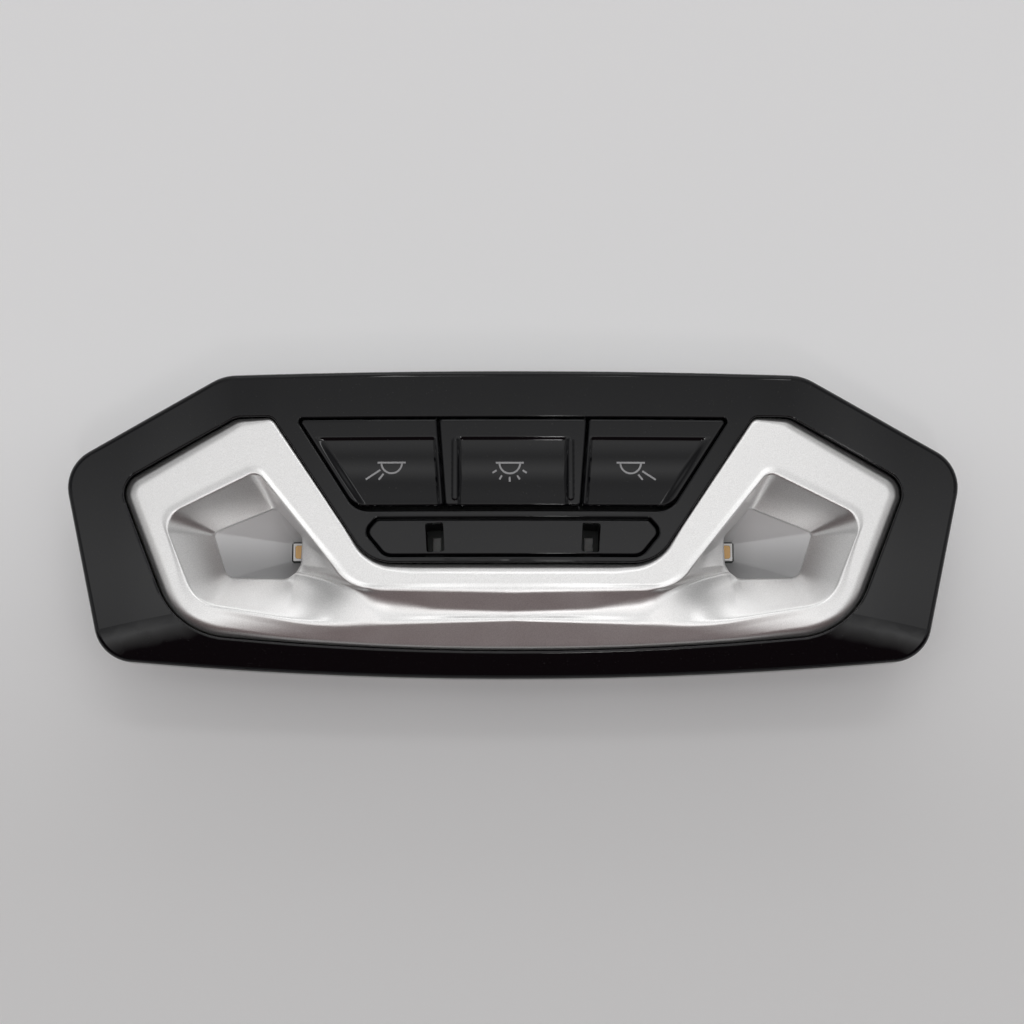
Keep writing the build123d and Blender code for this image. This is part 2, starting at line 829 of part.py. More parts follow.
with BuildPart() as key_carrier:
    with BuildSketch(Plane.XY.offset(carrier_z)):
        offset(keys_opening.sketch, amount=box_gap + box_wall)
        offset(bar_opening.sketch, amount=bar_margin, mode=Mode.ADD)
        with Locations((0, press_y), (press_x, press_y), (-press_x, press_y)):
            Rectangle(press_window, press_window, mode=Mode.SUBTRACT)
        with Locations((0, glow_y), (press_x, glow_y), (-press_x, glow_y)):
            Rectangle(glow_window_x, glow_window_y, mode=Mode.SUBTRACT)
        offset(slot_outline.sketch, amount=tunnel_gap, mode=Mode.SUBTRACT)
    extrude(amount=carrier_thickness)
    add(key_box.part)
    add(light_tunnels.part)
    with BuildSketch(Plane.XY.offset(carrier_z)):
        with Locations(*[(x, pivot_y) for x in blade_xs]):
            Rectangle(clip_blade, clip_width)
    extrude(amount=pivot_z + clip_rise - carrier_z)
    with BuildSketch(Plane.YZ):
        with Locations((pivot_y, pivot_z)):
            Circle(rod_radius + rod_clearance)
        with Locations((pivot_y, pivot_z + clip_width / 2)):
            Rectangle(clip_mouth, clip_width)
    extrude(amount=side_blade_x + side_blade_spread + clip_blade, both=True, mode=Mode.SUBTRACT)
    with BuildSketch(Plane.XY.offset(board_top_z)):
        with Locations(
            (leg_upper_x, leg_upper_y), (-leg_upper_x, leg_upper_y),
            (leg_lower_x, leg_lower_y), (-leg_lower_x, leg_lower_y),
        ):
            Circle(leg_radius)
    extrude(amount=carrier_z - board_top_z)
key_carrier.part.label = "key carrier"
export_step(key_carrier.part, "parts/key_carrier.step")

# Circuit board with the switches, the small lights and the driver chip
board_inset = tub_inset + tub_wall + board_gap
board_screw_places = (
    (post_upper_x, post_upper_y), (-post_upper_x, post_upper_y),
    (post_lower_x, post_lower_y), (-post_lower_x, post_lower_y),
)


def inset_outline(inset):
    """Return the bezel outline moved in by inset, with its corners rounded again."""
    return offset(offset(bezel_outline.sketch, amount=-inset - tub_corner), amount=tub_corner)


with BuildPart() as circuit_board:
    with BuildSketch(Plane.XY.offset(board_z)):
        add(inset_outline(board_inset))
        with Locations(*board_screw_places):
            Circle(board_shank_radius + 2 * screw_clearance, mode=Mode.SUBTRACT)
    extrude(amount=board_thickness)
circuit_board.part.label = "circuit board"
export_step(circuit_board.part, "parts/circuit_board.step")

with BuildPart() as centre_switch_body:
    with BuildSketch(Plane.XY.offset(board_top_z)):
        with Locations((0, press_y)):
            RectangleRounded(switch_side, switch_side, switch_corner)
    extrude(amount=switch_height)
    with BuildSketch(Plane.XY.offset(board_top_z + switch_floor)):
        with Locations((0, press_y)):
            Circle(switch_bore)
    extrude(amount=switch_height, mode=Mode.SUBTRACT)
centre_switch_body.part.label = "centre switch body"
export_step(centre_switch_body.part, "parts/centre_switch_body.step")

with BuildPart() as right_switch_body:
    add(centre_switch_body.part.moved(Location((press_x, 0, 0))))
right_switch_body.part.label = "right switch body"
export_step(right_switch_body.part, "parts/right_switch_body.step")

with BuildPart() as left_switch_body:
    add(centre_switch_body.part.moved(Location((-press_x, 0, 0))))
left_switch_body.part.label = "left switch body"
export_step(left_switch_body.part, "parts/left_switch_body.step")

with BuildPart() as centre_switch_dome:
    with BuildSketch(Plane.XY.offset(dome_z)):
        with Locations((0, press_y)):
            Circle(dome_radius)
    extrude(amount=dome_top_z - dome_z)
    fillet(centre_switch_dome.edges().sort_by(Axis.Z)[-1], dome_round)
centre_switch_dome.part.label = "centre switch dome"
export_step(centre_switch_dome.part, "parts/centre_switch_dome.step")

with BuildPart() as right_switch_dome:
    add(centre_switch_dome.part.moved(Location((press_x, 0, 0))))
right_switch_dome.part.label = "right switch dome"
export_step(right_switch_dome.part, "parts/right_switch_dome.step")

with BuildPart() as left_switch_dome:
    add(centre_switch_dome.part.moved(Location((-press_x, 0, 0))))
left_switch_dome.part.label = "left switch dome"
export_step(left_switch_dome.part, "parts/left_switch_dome.step")

with BuildPart() as key_lights:
    with BuildSketch(Plane.XY.offset(board_top_z)):
        with Locations((0, glow_y), (press_x, glow_y), (-press_x, glow_y)):
            Rectangle(glow_led_x, glow_led_y)
    extrude(amount=glow_led_height)
key_lights.part.label = "key lights"
export_step(key_lights.part, "parts/key_lights.step")

with BuildPart() as right_courtesy_led:
    with BuildSketch(Plane.XY.offset(board_top_z)):
        with Locations((slot_x, slot_y)):
            Rectangle(courtesy_x, courtesy_y)
    extrude(amount=courtesy_height)
    chamfer(right_courtesy_led.faces().sort_by(Axis.Z)[-1].edges(), courtesy_lens / 2)
right_courtesy_led.part.label = "right courtesy led"
export_step(right_courtesy_led.part, "parts/right_courtesy_led.step")

with BuildPart() as left_courtesy_led:
    mirror(right_courtesy_led.part, about=Plane.YZ)
left_courtesy_led.part.label = "left courtesy led"
export_step(left_courtesy_led.part, "parts/left_courtesy_led.step")

with BuildPart() as driver_chip:
    with BuildSketch(Plane.XY.offset(board_top_z + chip_lift)):
        with Locations((0, chip_place_y)):
            Rectangle(chip_x, chip_y)
    extrude(amount=chip_height)
    chamfer(driver_chip.faces().sort_by(Axis.Z)[-1].edges(), chip_chamfer)
    with BuildSketch(Plane.XY.offset(board_top_z)):
        with Locations((0, chip_place_y)):
            with GridLocations(lead_pitch, 0, lead_count, 1):
                Rectangle(lead_width, chip_y + 2 * lead_reach)
    extrude(amount=lead_height)
driver_chip.part.label = "driver chip"
export_step(driver_chip.part, "parts/driver_chip.step")

# Rear housing
with BuildPart() as rear_housing:
    with BuildSketch():
        add(inset_outline(tub_inset))
    extrude(amount=flange_z)
    fillet(rear_housing.faces().sort_by(Axis.Z)[0].edges(), tub_edge_radius)
    with BuildSketch(Plane.XY.offset(flange_z)):
        offset(bezel_outline.sketch, amount=-bezel_wall - flange_gap)
    extrude(amount=flange_thickness)
    with BuildSketch(Plane.XY.offset(tub_floor)):
        add(inset_outline(tub_inset + tub_wall))
    extrude(amount=front_z, mode=Mode.SUBTRACT)
    with BuildSketch(Plane.XY.offset(tub_floor)):
        with Locations(*board_screw_places):
            Circle(post_radius)
    extrude(amount=board_z - tub_floor)
    with BuildSketch(Plane.XY.offset(tub_floor)):
        with Locations(*board_screw_places):
            Circle(board_shank_radius + screw_clearance)
    extrude(amount=board_z, mode=Mode.SUBTRACT)
    with BuildSketch():
        with Locations((0, connector_y)):
            RectangleRounded(
                connector_x_size + 2 * connector_gap, connector_y_size + 2 * connector_gap, connector_radius
            )
    extrude(amount=tub_floor, mode=Mode.SUBTRACT)
    for place in housing_screw_places:
        with BuildSketch(Plane.XZ.offset(-place[1])) as countersink:
            with BuildLine():
                Polyline(
                    (place[0], flange_z),
                    (place[0] + housing_head_radius + screw_clearance, flange_z),
                    (place[0] + housing_shank_radius + screw_clearance, flange_z + housing_head_height),
                    (place[0] + housing_shank_radius + screw_clearance, flange_z + flange_thickness),
                    (place[0], flange_z + flange_thickness),
                    close=True,
                )
            make_face()
        revolve(axis=Axis((*place, 0), (0, 0, 1)), mode=Mode.SUBTRACT)
rear_housing.part.label = "rear housing"
export_step(rear_housing.part, "parts/rear_housing.step")

# Connector
with BuildPart() as connector_shroud:
    with BuildSketch(Plane.XY.offset(connector_sink)):
        with Locations((0, connector_y)):
            RectangleRounded(connector_x_size, connector_y_size, connector_radius)
    extrude(amount=board_z - connector_sink)
    with BuildSketch(Plane.XY.offset(connector_sink)):
        with Locations((0, connector_y)):
            Rectangle(connector_x_size - 2 * connector_wall, connector_y_size - 2 * connector_wall)
    extrude(amount=board_z - connector_base - connector_sink, mode=Mode.SUBTRACT)
    with BuildSketch(Plane.XY.offset(connector_sink)):
        with Locations((0, connector_y)):
            with GridLocations(pin_pitch_x, pin_pitch_y, pin_columns, pin_rows):
                Rectangle(pin_side + 2 * pin_gap, pin_side + 2 * pin_gap)
    extrude(amount=board_z, mode=Mode.SUBTRACT)
connector_shroud.part.label = "connector shroud"
export_step(connector_shroud.part, "parts/connector_shroud.step")

with BuildPart() as connector_pins:
    with BuildSketch(Plane.XY.offset(pin_tip_z)):
        with Locations((0, connector_y)):
            with GridLocations(pin_pitch_x, pin_pitch_y, pin_columns, pin_rows):
                Rectangle(pin_side, pin_side)
    extrude(amount=board_z - pin_tip_z)
    chamfer(connector_pins.faces().group_by(Axis.Z)[0].edges(), pin_side / 4)
connector_pins.part.label = "connector pins"
export_step(connector_pins.part, "parts/connector_pins.step")

# Spring clips
upper_near_x = spring_upper_x - spring_width / 2
lower_near_x = spring_lower_x - spring_width / 2
upper_wall_y = top_y - top_bow * (upper_near_x / top_corner_x) ** 2 - tub_inset
lower_wall_y = -bottom_y - bottom_bow * (lower_near_x / bottom_corner_x) ** 2 - tub_inset


def spring_section(wall_y):
    """Return the bent strip of a clip, seen from the side, on a wall at the distance wall_y."""
    leg = wall_y + spring_thickness / 2 + seat_gap
    with BuildSketch(Plane.YZ) as section:
        with BuildLine():
            FilletPolyline(
                (leg, spring_leg_top_z),
                (leg, spring_foot_z),
                (leg + spring_turn, spring_foot_z),
                (leg + spring_bulge, spring_bulge_z),
                (leg + spring_tip, spring_tip_z),
                radius=spring_bend,
            )
        trace(line_width=spring_thickness)
    return section.sketch


with BuildPart() as upper_right_clip:
    upper_strip = spring_section(upper_wall_y).moved(Location((spring_upper_x, 0, 0)))
    extrude(upper_strip, spring_width / 2, both=True)
upper_right_clip.part.label = "upper right clip"
export_step(upper_right_clip.part, "parts/upper_right_clip.step")

with BuildPart() as upper_left_clip:
    mirror(upper_right_clip.part, about=Plane.YZ)
upper_left_clip.part.label = "upper left clip"
export_step(upper_left_clip.part, "parts/upper_left_clip.step")

with BuildPart() as lower_clip_blank:
    lower_strip = spring_section(lower_wall_y).moved(Location((spring_lower_x, 0, 0)))
    extrude(lower_strip, spring_width / 2, both=True)

with BuildPart() as lower_right_clip:
    mirror(lower_clip_blank.part, about=Plane.XZ)
lower_right_clip.part.label = "lower right clip"
export_step(lower_right_clip.part, "parts/lower_right_clip.step")

with BuildPart() as lower_left_clip:
    mirror(lower_right_clip.part, about=Plane.YZ)
lower_left_clip.part.label = "lower left clip"
export_step(lower_left_clip.part, "parts/lower_left_clip.step")

# Screws
with BuildPart() as housing_screw:
    with BuildSketch(Plane.XZ):
        with BuildLine():
            Polyline(
                (0, flange_z),
                (housing_head_radius, flange_z),
                (housing_shank_radius, flange_z + housing_head_height),
                (housing_shank_radius, flange_z + housing_screw_length - housing_screw_point),
                (housing_shank_radius - housing_screw_point, flange_z + housing_screw_length),
                (0, flange_z + housing_screw_length),
                close=True,
            )
        make_face()
    revolve(axis=Axis.Z)
    with BuildSketch(Plane.XY.offset(flange_z)):
        Rectangle(recess_length, recess_width)
        Rectangle(recess_width, recess_length)
    extrude(amount=recess_depth, mode=Mode.SUBTRACT)

with BuildPart() as housing_screws:
    for place in housing_screw_places:
        add(housing_screw.part.moved(Location((*place, 0))))
housing_screws.part.label = "housing screws"
export_step(housing_screws.part, "parts/housing_screws.step")

with BuildPart() as board_screw:
    with BuildSketch(Plane.XY.offset(board_top_z)):
        Circle(board_head_radius)
    extrude(amount=board_head_height)
    fillet(board_screw.edges().sort_by(Axis.Z)[-1], board_head_round)
    with BuildSketch(Plane.XY.offset(board_top_z)):
        Circle(board_shank_radius)
    extrude(amount=-board_screw_length)
    with BuildSketch(Plane.XY.offset(board_top_z + board_head_height)):
        Rectangle(recess_length, recess_width)
        Rectangle(recess_width, recess_length)
    extrude(amount=-recess_depth, mode=Mode.SUBTRACT)

with BuildPart() as board_screws:
    for place in board_screw_places:
        add(board_screw.part.moved(Location((*place, 0))))
board_screws.part.label = "board screws"
export_step(board_screws.part, "parts/board_screws.step")
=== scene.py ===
"""Looks of the interior reading light: surfaces, finishes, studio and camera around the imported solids."""

from __future__ import annotations

import logging
from dataclasses import dataclass, field
from enum import Enum
from math import cos, pi, radians, sin, tan

import bmesh
import bpy
import numpy as np
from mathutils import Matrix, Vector


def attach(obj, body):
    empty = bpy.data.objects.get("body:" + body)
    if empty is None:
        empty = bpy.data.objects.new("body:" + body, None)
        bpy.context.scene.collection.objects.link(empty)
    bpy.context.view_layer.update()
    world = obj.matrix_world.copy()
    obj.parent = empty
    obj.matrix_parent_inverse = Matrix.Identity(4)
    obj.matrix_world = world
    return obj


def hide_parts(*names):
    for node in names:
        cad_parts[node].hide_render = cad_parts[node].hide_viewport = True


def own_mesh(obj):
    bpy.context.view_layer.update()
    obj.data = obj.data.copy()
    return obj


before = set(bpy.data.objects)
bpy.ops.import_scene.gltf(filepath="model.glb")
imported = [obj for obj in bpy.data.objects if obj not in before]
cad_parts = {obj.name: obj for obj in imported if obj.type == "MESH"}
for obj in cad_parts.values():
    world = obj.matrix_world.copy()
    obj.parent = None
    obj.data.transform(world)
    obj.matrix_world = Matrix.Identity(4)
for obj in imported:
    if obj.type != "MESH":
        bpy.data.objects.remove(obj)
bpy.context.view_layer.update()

LOG = logging.getLogger("reading_light")
MM = 0.001
Array = np.ndarray
Colour = tuple[float, float, float]
Triple = tuple[float, float, float]
Point = tuple[float, float]
UP: Triple = (0.0, 0.0, 1.0)
TIP = 0.001
TINY = 1e-6
BAR_SHARES = (TIP, 0.86, 1.0, 1.0, 0.86, TIP)
BAR_LIFTS = (0.0, 0.0, 0.14, -0.14, 0.0, 0.0)


class Sock:
    """A shader output that takes part in Python arithmetic; each operation adds one Math node."""

    def __init__(self, shader: Shader, socket: bpy.types.NodeSocket) -> None:
        """Keep the socket and the shader that it belongs to."""
        self.shader = shader
        self.socket = socket

    def _math(self, operation: str, first: object, second: object) -> Sock:
        """Add a Math node.

        Args:
            operation: name of the operation.
            first: first value or socket.
            second: second value or socket.

        Returns:
            The node's result.
        """
        return self.shader.node("ShaderNodeMath", {"operation": operation}, {0: first, 1: second})

    def __add__(self, other: object) -> Sock:
        """Sum of both."""
        return self._math("ADD", self, other)

    __radd__ = __add__

    def __sub__(self, other: object) -> Sock:
        """This less the other."""
        return self._math("SUBTRACT", self, other)

    def __rsub__(self, other: object) -> Sock:
        """The other less this."""
        return self._math("SUBTRACT", other, self)

    def __mul__(self, other: object) -> Sock:
        """Product of both."""
        return self._math("MULTIPLY", self, other)

    __rmul__ = __mul__

    def __truediv__(self, other: object) -> Sock:
        """This divided by the other."""
        return self._math("DIVIDE", self, other)


class Shader:
    """One node tree, with a single method that makes every node in it."""

    def __init__(self, tree: bpy.types.NodeTree) -> None:
        """Empty the tree."""
        self.tree = tree
        tree.nodes.clear()

    def node(
        self, kind: str, settings: dict | None = None, inputs: dict | None = None, out: int | str = 0
    ) -> Sock | None:
        """Make a node.

        Args:
            kind: the node's type name.
            settings: values of the node itself, set first; stops are the positions and colours of a ramp.
            inputs: values or sockets for its inputs, by name or number.
            out: name or number of the output to return.

        Returns:
            The chosen output, or None where the node has no outputs.
        """
        node = self.tree.nodes.new(kind)
        for key, value in (settings or {}).items():
            if key == "stops":
                ramp = node.color_ramp.elements
                for index, (position, colour) in enumerate(value):
                    stop = ramp[index] if index < len(ramp) else ramp.new(position)
                    stop.position = position
                    stop.color = (*colour, 1.0)
            else:
                setattr(node, key, value)
        for key, value in (inputs or {}).items():
            if isinstance(value, Sock):
                self.tree.links.new(value.socket, node.inputs[key])
            elif isinstance(value, tuple) and len(value) == 3 and node.inputs[key].type == "RGBA":
                node.inputs[key].default_value = (*value, 1.0)
            else:
                node.inputs[key].default_value = value
        return Sock(self, node.outputs[out]) if len(node.outputs) else None

    def position(self) -> Sock:
        """Object coordinates of the piece."""
        return self.node("ShaderNodeTexCoord", out="Object")

    def axis(self, vector: Sock, name: str) -> Sock:
        """Part of a vector along X, Y or Z."""
        return self.node("ShaderNodeSeparateXYZ", {}, {0: vector}, out=name)

    def unsigned(self, value: Sock) -> Sock:
        """A value without its sign."""
        return self.node("ShaderNodeMath", {"operation": "ABSOLUTE"}, {0: value})

    def noise(self, grain: float, detail: float = 2.0, roughness: float = 0.5) -> Sock:
        """Noise between 0 and 1.

        Args:
            grain: size of one grain in millimetres.
            detail: number of finer octaves.
            roughness: strength of the finer octaves.

        Returns:
            The noise value.
        """
        inputs = {
            "Vector": self.position(), "Scale": 1.0 / (grain * MM), "Detail": detail, "Roughness": roughness,
        }
        return self.node("ShaderNodeTexNoise", {"noise_dimensions": "3D"}, inputs)

    def bump(self, height: Sock, depth: float, strength: float = 1.0) -> Sock:
        """Surface relief.

        Args:
            height: relief between 0 and 1.
            depth: height of the relief in millimetres.
            strength: share of the relief that shows.

        Returns:
            The bent normal.
        """
        inputs = {"Strength": strength, "Distance": depth * MM, "Height": height}
        return self.node("ShaderNodeBump", {}, inputs)

    def blend(self, share: Sock, low: Colour, high: Colour) -> Sock:
        """Mix of two colours.

        Args:
            share: 0 for the first colour, 1 for the second.
            low: first colour.
            high: second colour.

        Returns:
            The mixed colour.
        """
        inputs = {0: share, 6: (*low, 1.0), 7: (*high, 1.0)}
        return self.node("ShaderNodeMix", {"data_type": "RGBA", "clamp_factor": True}, inputs, out=2)

    def ramp(self, value: Sock, stops: tuple, low: float, high: float) -> Sock:
        """Colour along a value.

        Args:
            value: the value.
            stops: pairs of a value and a grey level or colour there.
            low: value at the start of the ramp.
            high: value at its end.

        Returns:
            The colour, mixed in a straight line from stop to stop.
        """
        colours = [
            ((at - low) / (high - low), tone if isinstance(tone, tuple) else (tone, tone, tone))
            for at, tone in stops
        ]
        inputs = {0: (value - low) / (high - low)}
        return self.node("ShaderNodeValToRGB", {"stops": colours}, inputs)

    def between(self, value: Sock, low: float, high: float) -> Sock:
        """Smooth step of a value from 0 at low to 1 at high."""
        inputs = {"Value": value, "From Min": low, "From Max": high}
        return self.node("ShaderNodeMapRange", {"interpolation_type": "SMOOTHSTEP"}, inputs)

    def surface(self, inputs: dict) -> None:
        """Finish a material with a principled shader that has these inputs."""
        shader = self.node("ShaderNodeBsdfPrincipled", {}, inputs)
        self.node("ShaderNodeOutputMaterial", {}, {"Surface": shader})


@dataclass(frozen=True)
class Finish:
    """A finish that becomes a material once and is then shared."""

    name: str

    def material(self) -> bpy.types.Material:
        """Return the material of this finish, made at its first use."""
        made = bpy.data.materials.get(self.name)
        if made is None:
            made = bpy.data.materials.new(self.name)
            made.use_nodes = True
            self.paint(Shader(made.node_tree))
        return made

    def paint(self, shader: Shader) -> None:
        """Build the nodes of the finish; each kind of finish has its own."""
        raise NotImplementedError


@dataclass(frozen=True)
class GlossBlack(Finish):
    """Polished black moulding with a faint flow texture and a little dust."""

    base: Colour = (0.0030, 0.0030, 0.0042)
    dust: Colour = (0.03, 0.03, 0.03)
    dust_grain: float = 0.22
    dust_range: Point = (0.80, 0.86)
    dust_roughness: float = 0.25
    gloss: float = 0.045
    haze: float = 0.05
    haze_grain: float = 9.0
    flow_grain: float = 2.6
    flow_depth: float = 0.004
    flow_share: float = 0.35
    specular: float = 0.36

    def paint(self, shader: Shader) -> None:
        """Haze varies the roughness in wide patches, and dust shows as rare pale grains."""
        patch = shader.noise(self.haze_grain, 3.0)
        grain = shader.between(shader.noise(self.dust_grain, 0.0), *self.dust_range)
        flow = shader.noise(self.flow_grain, 1.0)
        shader.surface({
            "Base Color": shader.blend(grain, self.base, self.dust),
            "Roughness": self.gloss + self.haze * patch + self.dust_roughness * grain,
            "Specular IOR Level": self.specular,
            "Normal": shader.bump(flow, self.flow_depth, self.flow_share),
        })


@dataclass(frozen=True)
class SatinSilver(Finish):
    """Silver paint with fine metallic flakes."""

    dark: Colour = (0.81, 0.805, 0.80)
    light: Colour = (0.95, 0.945, 0.94)
    metallic: float = 0.96
    roughness: float = 0.26
    flake: float = 0.2
    flake_range: Point = (0.25, 0.75)
    flake_roughness: float = 0.10
    flake_depth: float = 0.014
    flake_share: float = 0.25
    cloud: float = 6.0
    cloud_roughness: float = 0.05

    def paint(self, shader: Shader) -> None:
        """Flakes vary the colour, the roughness and the direction of the surface a little."""
        flakes = shader.noise(self.flake, 1.0, 0.6)
        clouds = shader.noise(self.cloud, 2.0)
        tone = shader.between(flakes, *self.flake_range)
        shader.surface({
            "Base Color": shader.blend(tone, self.dark, self.light),
            "Metallic": self.metallic,
            "Roughness": self.roughness + self.flake_roughness * flakes + self.cloud_roughness * clouds,
            "Normal": shader.bump(flakes, self.flake_depth, self.flake_share),
        })


@dataclass(frozen=True)
class Metallised(Finish):
    """Bright vapour-metallised plastic of the reflectors."""

    # Painted light and shade: these colours and spans paint the film darker at the bottom and near the LED,
    # and lighter towards the top and outward.
    painted_shade_colour: Colour = (0.28, 0.28, 0.285)
    painted_lit_colour: Colour = (0.76, 0.76, 0.765)
    painted_light_rise: Point = (-9.0, 1.0)
    outward: Point = (43.0, 50.0)
    painted_light_up_share: float = 0.75
    metallic: float = 0.2
    roughness: float = 0.42
    haze_grain: float = 1.4
    haze_roughness: float = 0.12
    haze_depth: float = 0.01
    haze_share: float = 0.2

    def paint(self, shader: Shader) -> None:
        """Painted light and shade: the film's colour is painted lighter towards the top and away from the
        LED, and darker at the bottom and near the LED; a faint haze varies the roughness.
        """
        haze = shader.noise(self.haze_grain, 2.0)
        x, y = (shader.axis(shader.position(), name) for name in "XY")
        # Painted light: up and out are shares of painted light, towards the top and away from the LED.
        up = shader.between(y, self.painted_light_rise[0] * MM, self.painted_light_rise[1] * MM)
        out = shader.between(shader.unsigned(x), self.outward[0] * MM, self.outward[1] * MM)
        tone = self.painted_light_up_share * up + (1 - self.painted_light_up_share) * out
        shader.surface({
            "Base Color": shader.blend(tone, self.painted_shade_colour, self.painted_lit_colour),
            "Metallic": self.metallic,
            "Roughness": self.roughness + self.haze_roughness * haze,
            "Normal": shader.bump(haze, self.haze_depth, self.haze_share),
        })


@dataclass(frozen=True)
class MattPlastic(Finish):
    """Spark-eroded matt plastic."""

    base: Colour
    grain: float = 0.35
    roughness: float = 0.5
    relief: float = 0.02
    relief_share: float = 0.6
    grain_roughness: float = 0.15
    cloud: float = 7.0
    lightening: float = 1.35

    def paint(self, shader: Shader) -> None:
        """Erosion grain gives relief, and wide clouds vary the tone."""
        erosion = shader.noise(self.grain, 2.0)
        tone = shader.noise(self.cloud, 2.0)
        pale = tuple(min(1.0, self.lightening * part) for part in self.base)
        shader.surface({
            "Base Color": shader.blend(tone, self.base, pale),
            "Roughness": self.roughness + self.grain_roughness * erosion,
            "Normal": shader.bump(erosion, self.relief, self.relief_share),
        })


@dataclass(frozen=True)
class ClearedResin(Finish):
    """Orange phosphor under clear resin."""

    base: Colour = (0.80, 0.40, 0.13)
    pale: Colour = (0.95, 0.62, 0.30)
    grain: float = 0.12
    roughness: float = 0.35
    grain_roughness: float = 0.1
    coat: float = 0.6
    coat_roughness: float = 0.08

    def paint(self, shader: Shader) -> None:
        """Phosphor grains mottle the colour under a clear coat."""
        grains = shader.noise(self.grain, 2.0)
        shader.surface({
            "Base Color": shader.blend(grains, self.base, self.pale),
            "Roughness": self.roughness + self.grain_roughness * grains,
            "Coat Weight": self.coat,
            "Coat Roughness": self.coat_roughness,
        })


@dataclass(frozen=True)
class BareMetal(Finish):
    """Rolled or plated metal."""

    base: Colour
    roughness: float = 0.28
    streak: float = 0.6
    streak_roughness: float = 0.15
    streak_depth: float = 0.006
    streak_share: float = 0.3
    lightening: float = 1.2

    def paint(self, shader: Shader) -> None:
        """Rolling streaks vary roughness and tone."""
        streaks = shader.noise(self.streak, 3.0, 0.7)
        pale = tuple(min(1.0, self.lightening * part) for part in self.base)
        shader.surface({
            "Base Color": shader.blend(streaks, self.base, pale),
            "Metallic": 1.0,
            "Roughness": self.roughness + self.streak_roughness * streaks,
            "Normal": shader.bump(streaks, self.streak_depth, self.streak_share),
        })


@dataclass(frozen=True)
class FloorPaint(Finish):
    """Pale matt floor."""

    # Painted shade: base is the floor's colour at -Y, painted darker there as shade below the lamp, and pale
    # its colour towards +Y.
    base: Colour = (0.80, 0.795, 0.795)
    pale: Colour = (0.85, 0.85, 0.855)
    painted_shade_fade: Point = (-70.0, 35.0)
    cloud: float = 120.0
    cloud_share: float = 0.1
    roughness: float = 0.75
    glow: Colour = (0.15, 0.15, 0.152)
    painted_shade_glow_share: float = 0.4
    rays: tuple = ("Camera", "Glossy", "Transmission")

    def paint(self, shader: Shader) -> None:
        """Painted shade: the tone is painted darker towards -Y, below the lamp, and the faint glow that
        shows the floor pale is painted weaker there; wide soft clouds vary the tone a little.
        """
        clouds = shader.noise(self.cloud, 2.0)
        along = shader.axis(shader.position(), "Y")
        # Painted shade: share runs from the painted-shade end at -Y to the lit end at +Y.
        share = shader.between(along, self.painted_shade_fade[0] * MM, self.painted_shade_fade[1] * MM)
        tone = (1 - self.cloud_share) * share + self.cloud_share * clouds
        seen, mirrored, through = (
            shader.node("ShaderNodeLightPath", out=f"Is {ray} Ray") for ray in self.rays
        )
        level = (self.painted_shade_glow_share + (1 - self.painted_shade_glow_share) * share) * (seen + mirrored + through)
        shader.surface({
            "Base Color": shader.blend(tone, self.base, self.pale),
            "Roughness": self.roughness,
            "Emission Color": shader.blend(level, (0.0, 0.0, 0.0), self.glow),
            "Emission Strength": 1.0,
        })


class Coat(Enum):
    """The finishes of the lamp."""

    BLACK = GlossBlack("gloss_black_moulding")
    SILVER = SatinSilver("satin_silver_paint")
    MIRROR = Metallised("metallised_reflector")
    CARRIER = MattPlastic("carrier_black", (0.012, 0.012, 0.013))
    HOUSING = MattPlastic("housing_grey", (0.035, 0.035, 0.038), 0.45, 0.48, 0.03)
    SHROUD = MattPlastic("shroud_natural", (0.66, 0.62, 0.52), 0.3, 0.4)
    PACKAGE = MattPlastic("package_white", (0.78, 0.77, 0.74), 0.15, 0.4, 0.004)
    SWITCH = MattPlastic("switch_grey", (0.05, 0.05, 0.055), 0.2, 0.45, 0.008)
    CHIP = MattPlastic("chip_black", (0.014, 0.014, 0.015), 0.12, 0.5, 0.006)
    MASK = MattPlastic("solder_mask", (0.010, 0.016, 0.013), 0.6, 0.3, 0.004)
    DOME = MattPlastic("dome_rubber", (0.55, 0.55, 0.53), 0.3, 0.5, 0.006)
    PRINT = MattPlastic("print_grey", (0.33, 0.33, 0.34), 0.12, 0.45, 0.002)
    PHOSPHOR = ClearedResin("phosphor")
    BRASS = BareMetal("pin_brass", (0.72, 0.55, 0.26), 0.2, 0.25)
    SPRING = BareMetal("spring_steel", (0.46, 0.46, 0.47), 0.26, 0.5)
    SCREW = BareMetal("screw_steel", (0.50, 0.50, 0.52), 0.3, 0.3)
    FLOOR = FloorPaint("floor_paint")

    def on(self, *objects: bpy.types.Object) -> None:
        """Give these objects the finish.

        Args:
            objects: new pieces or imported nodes.
        """
        for obj in objects:
            if not obj.material_slots:
                obj.data.materials.append(self.value.material())
            for slot in obj.material_slots:
                slot.material = self.value.material()


def grid_quads(rows: int, columns: int, start: int = 0, closed: bool = False) -> Array:
    """Quads of a grid whose vertices are stored row by row.

    Args:
        rows: number of rows.
        columns: number of columns.
        start: index of the first vertex.
        closed: whether the last column joins the first.

    Returns:
        Vertex indices, four to a face.
    """
    index = start + np.arange(rows * columns).reshape(rows, columns)
    if closed:
        index = np.concatenate([index, index[:, :1]], axis=1)
    quads = [index[:-1, :-1], index[:-1, 1:], index[1:, 1:], index[1:, :-1]]
    return np.stack([corner.ravel() for corner in quads], axis=1)


def faced(vertices: Array, quads: Array, toward: Triple = UP) -> Array:
    """Turn all faces so that their summed normal points towards a direction.

    Args:
        vertices: places of the vertices.
        quads: faces.
        toward: the direction.

    Returns:
        The faces, turned where needed.
    """
    corners = vertices[quads]
    normals = np.cross(corners[:, 2] - corners[:, 0], corners[:, 3] - corners[:, 1])
    return quads if normals.sum(axis=0) @ np.array(toward) > 0 else quads[:, ::-1]


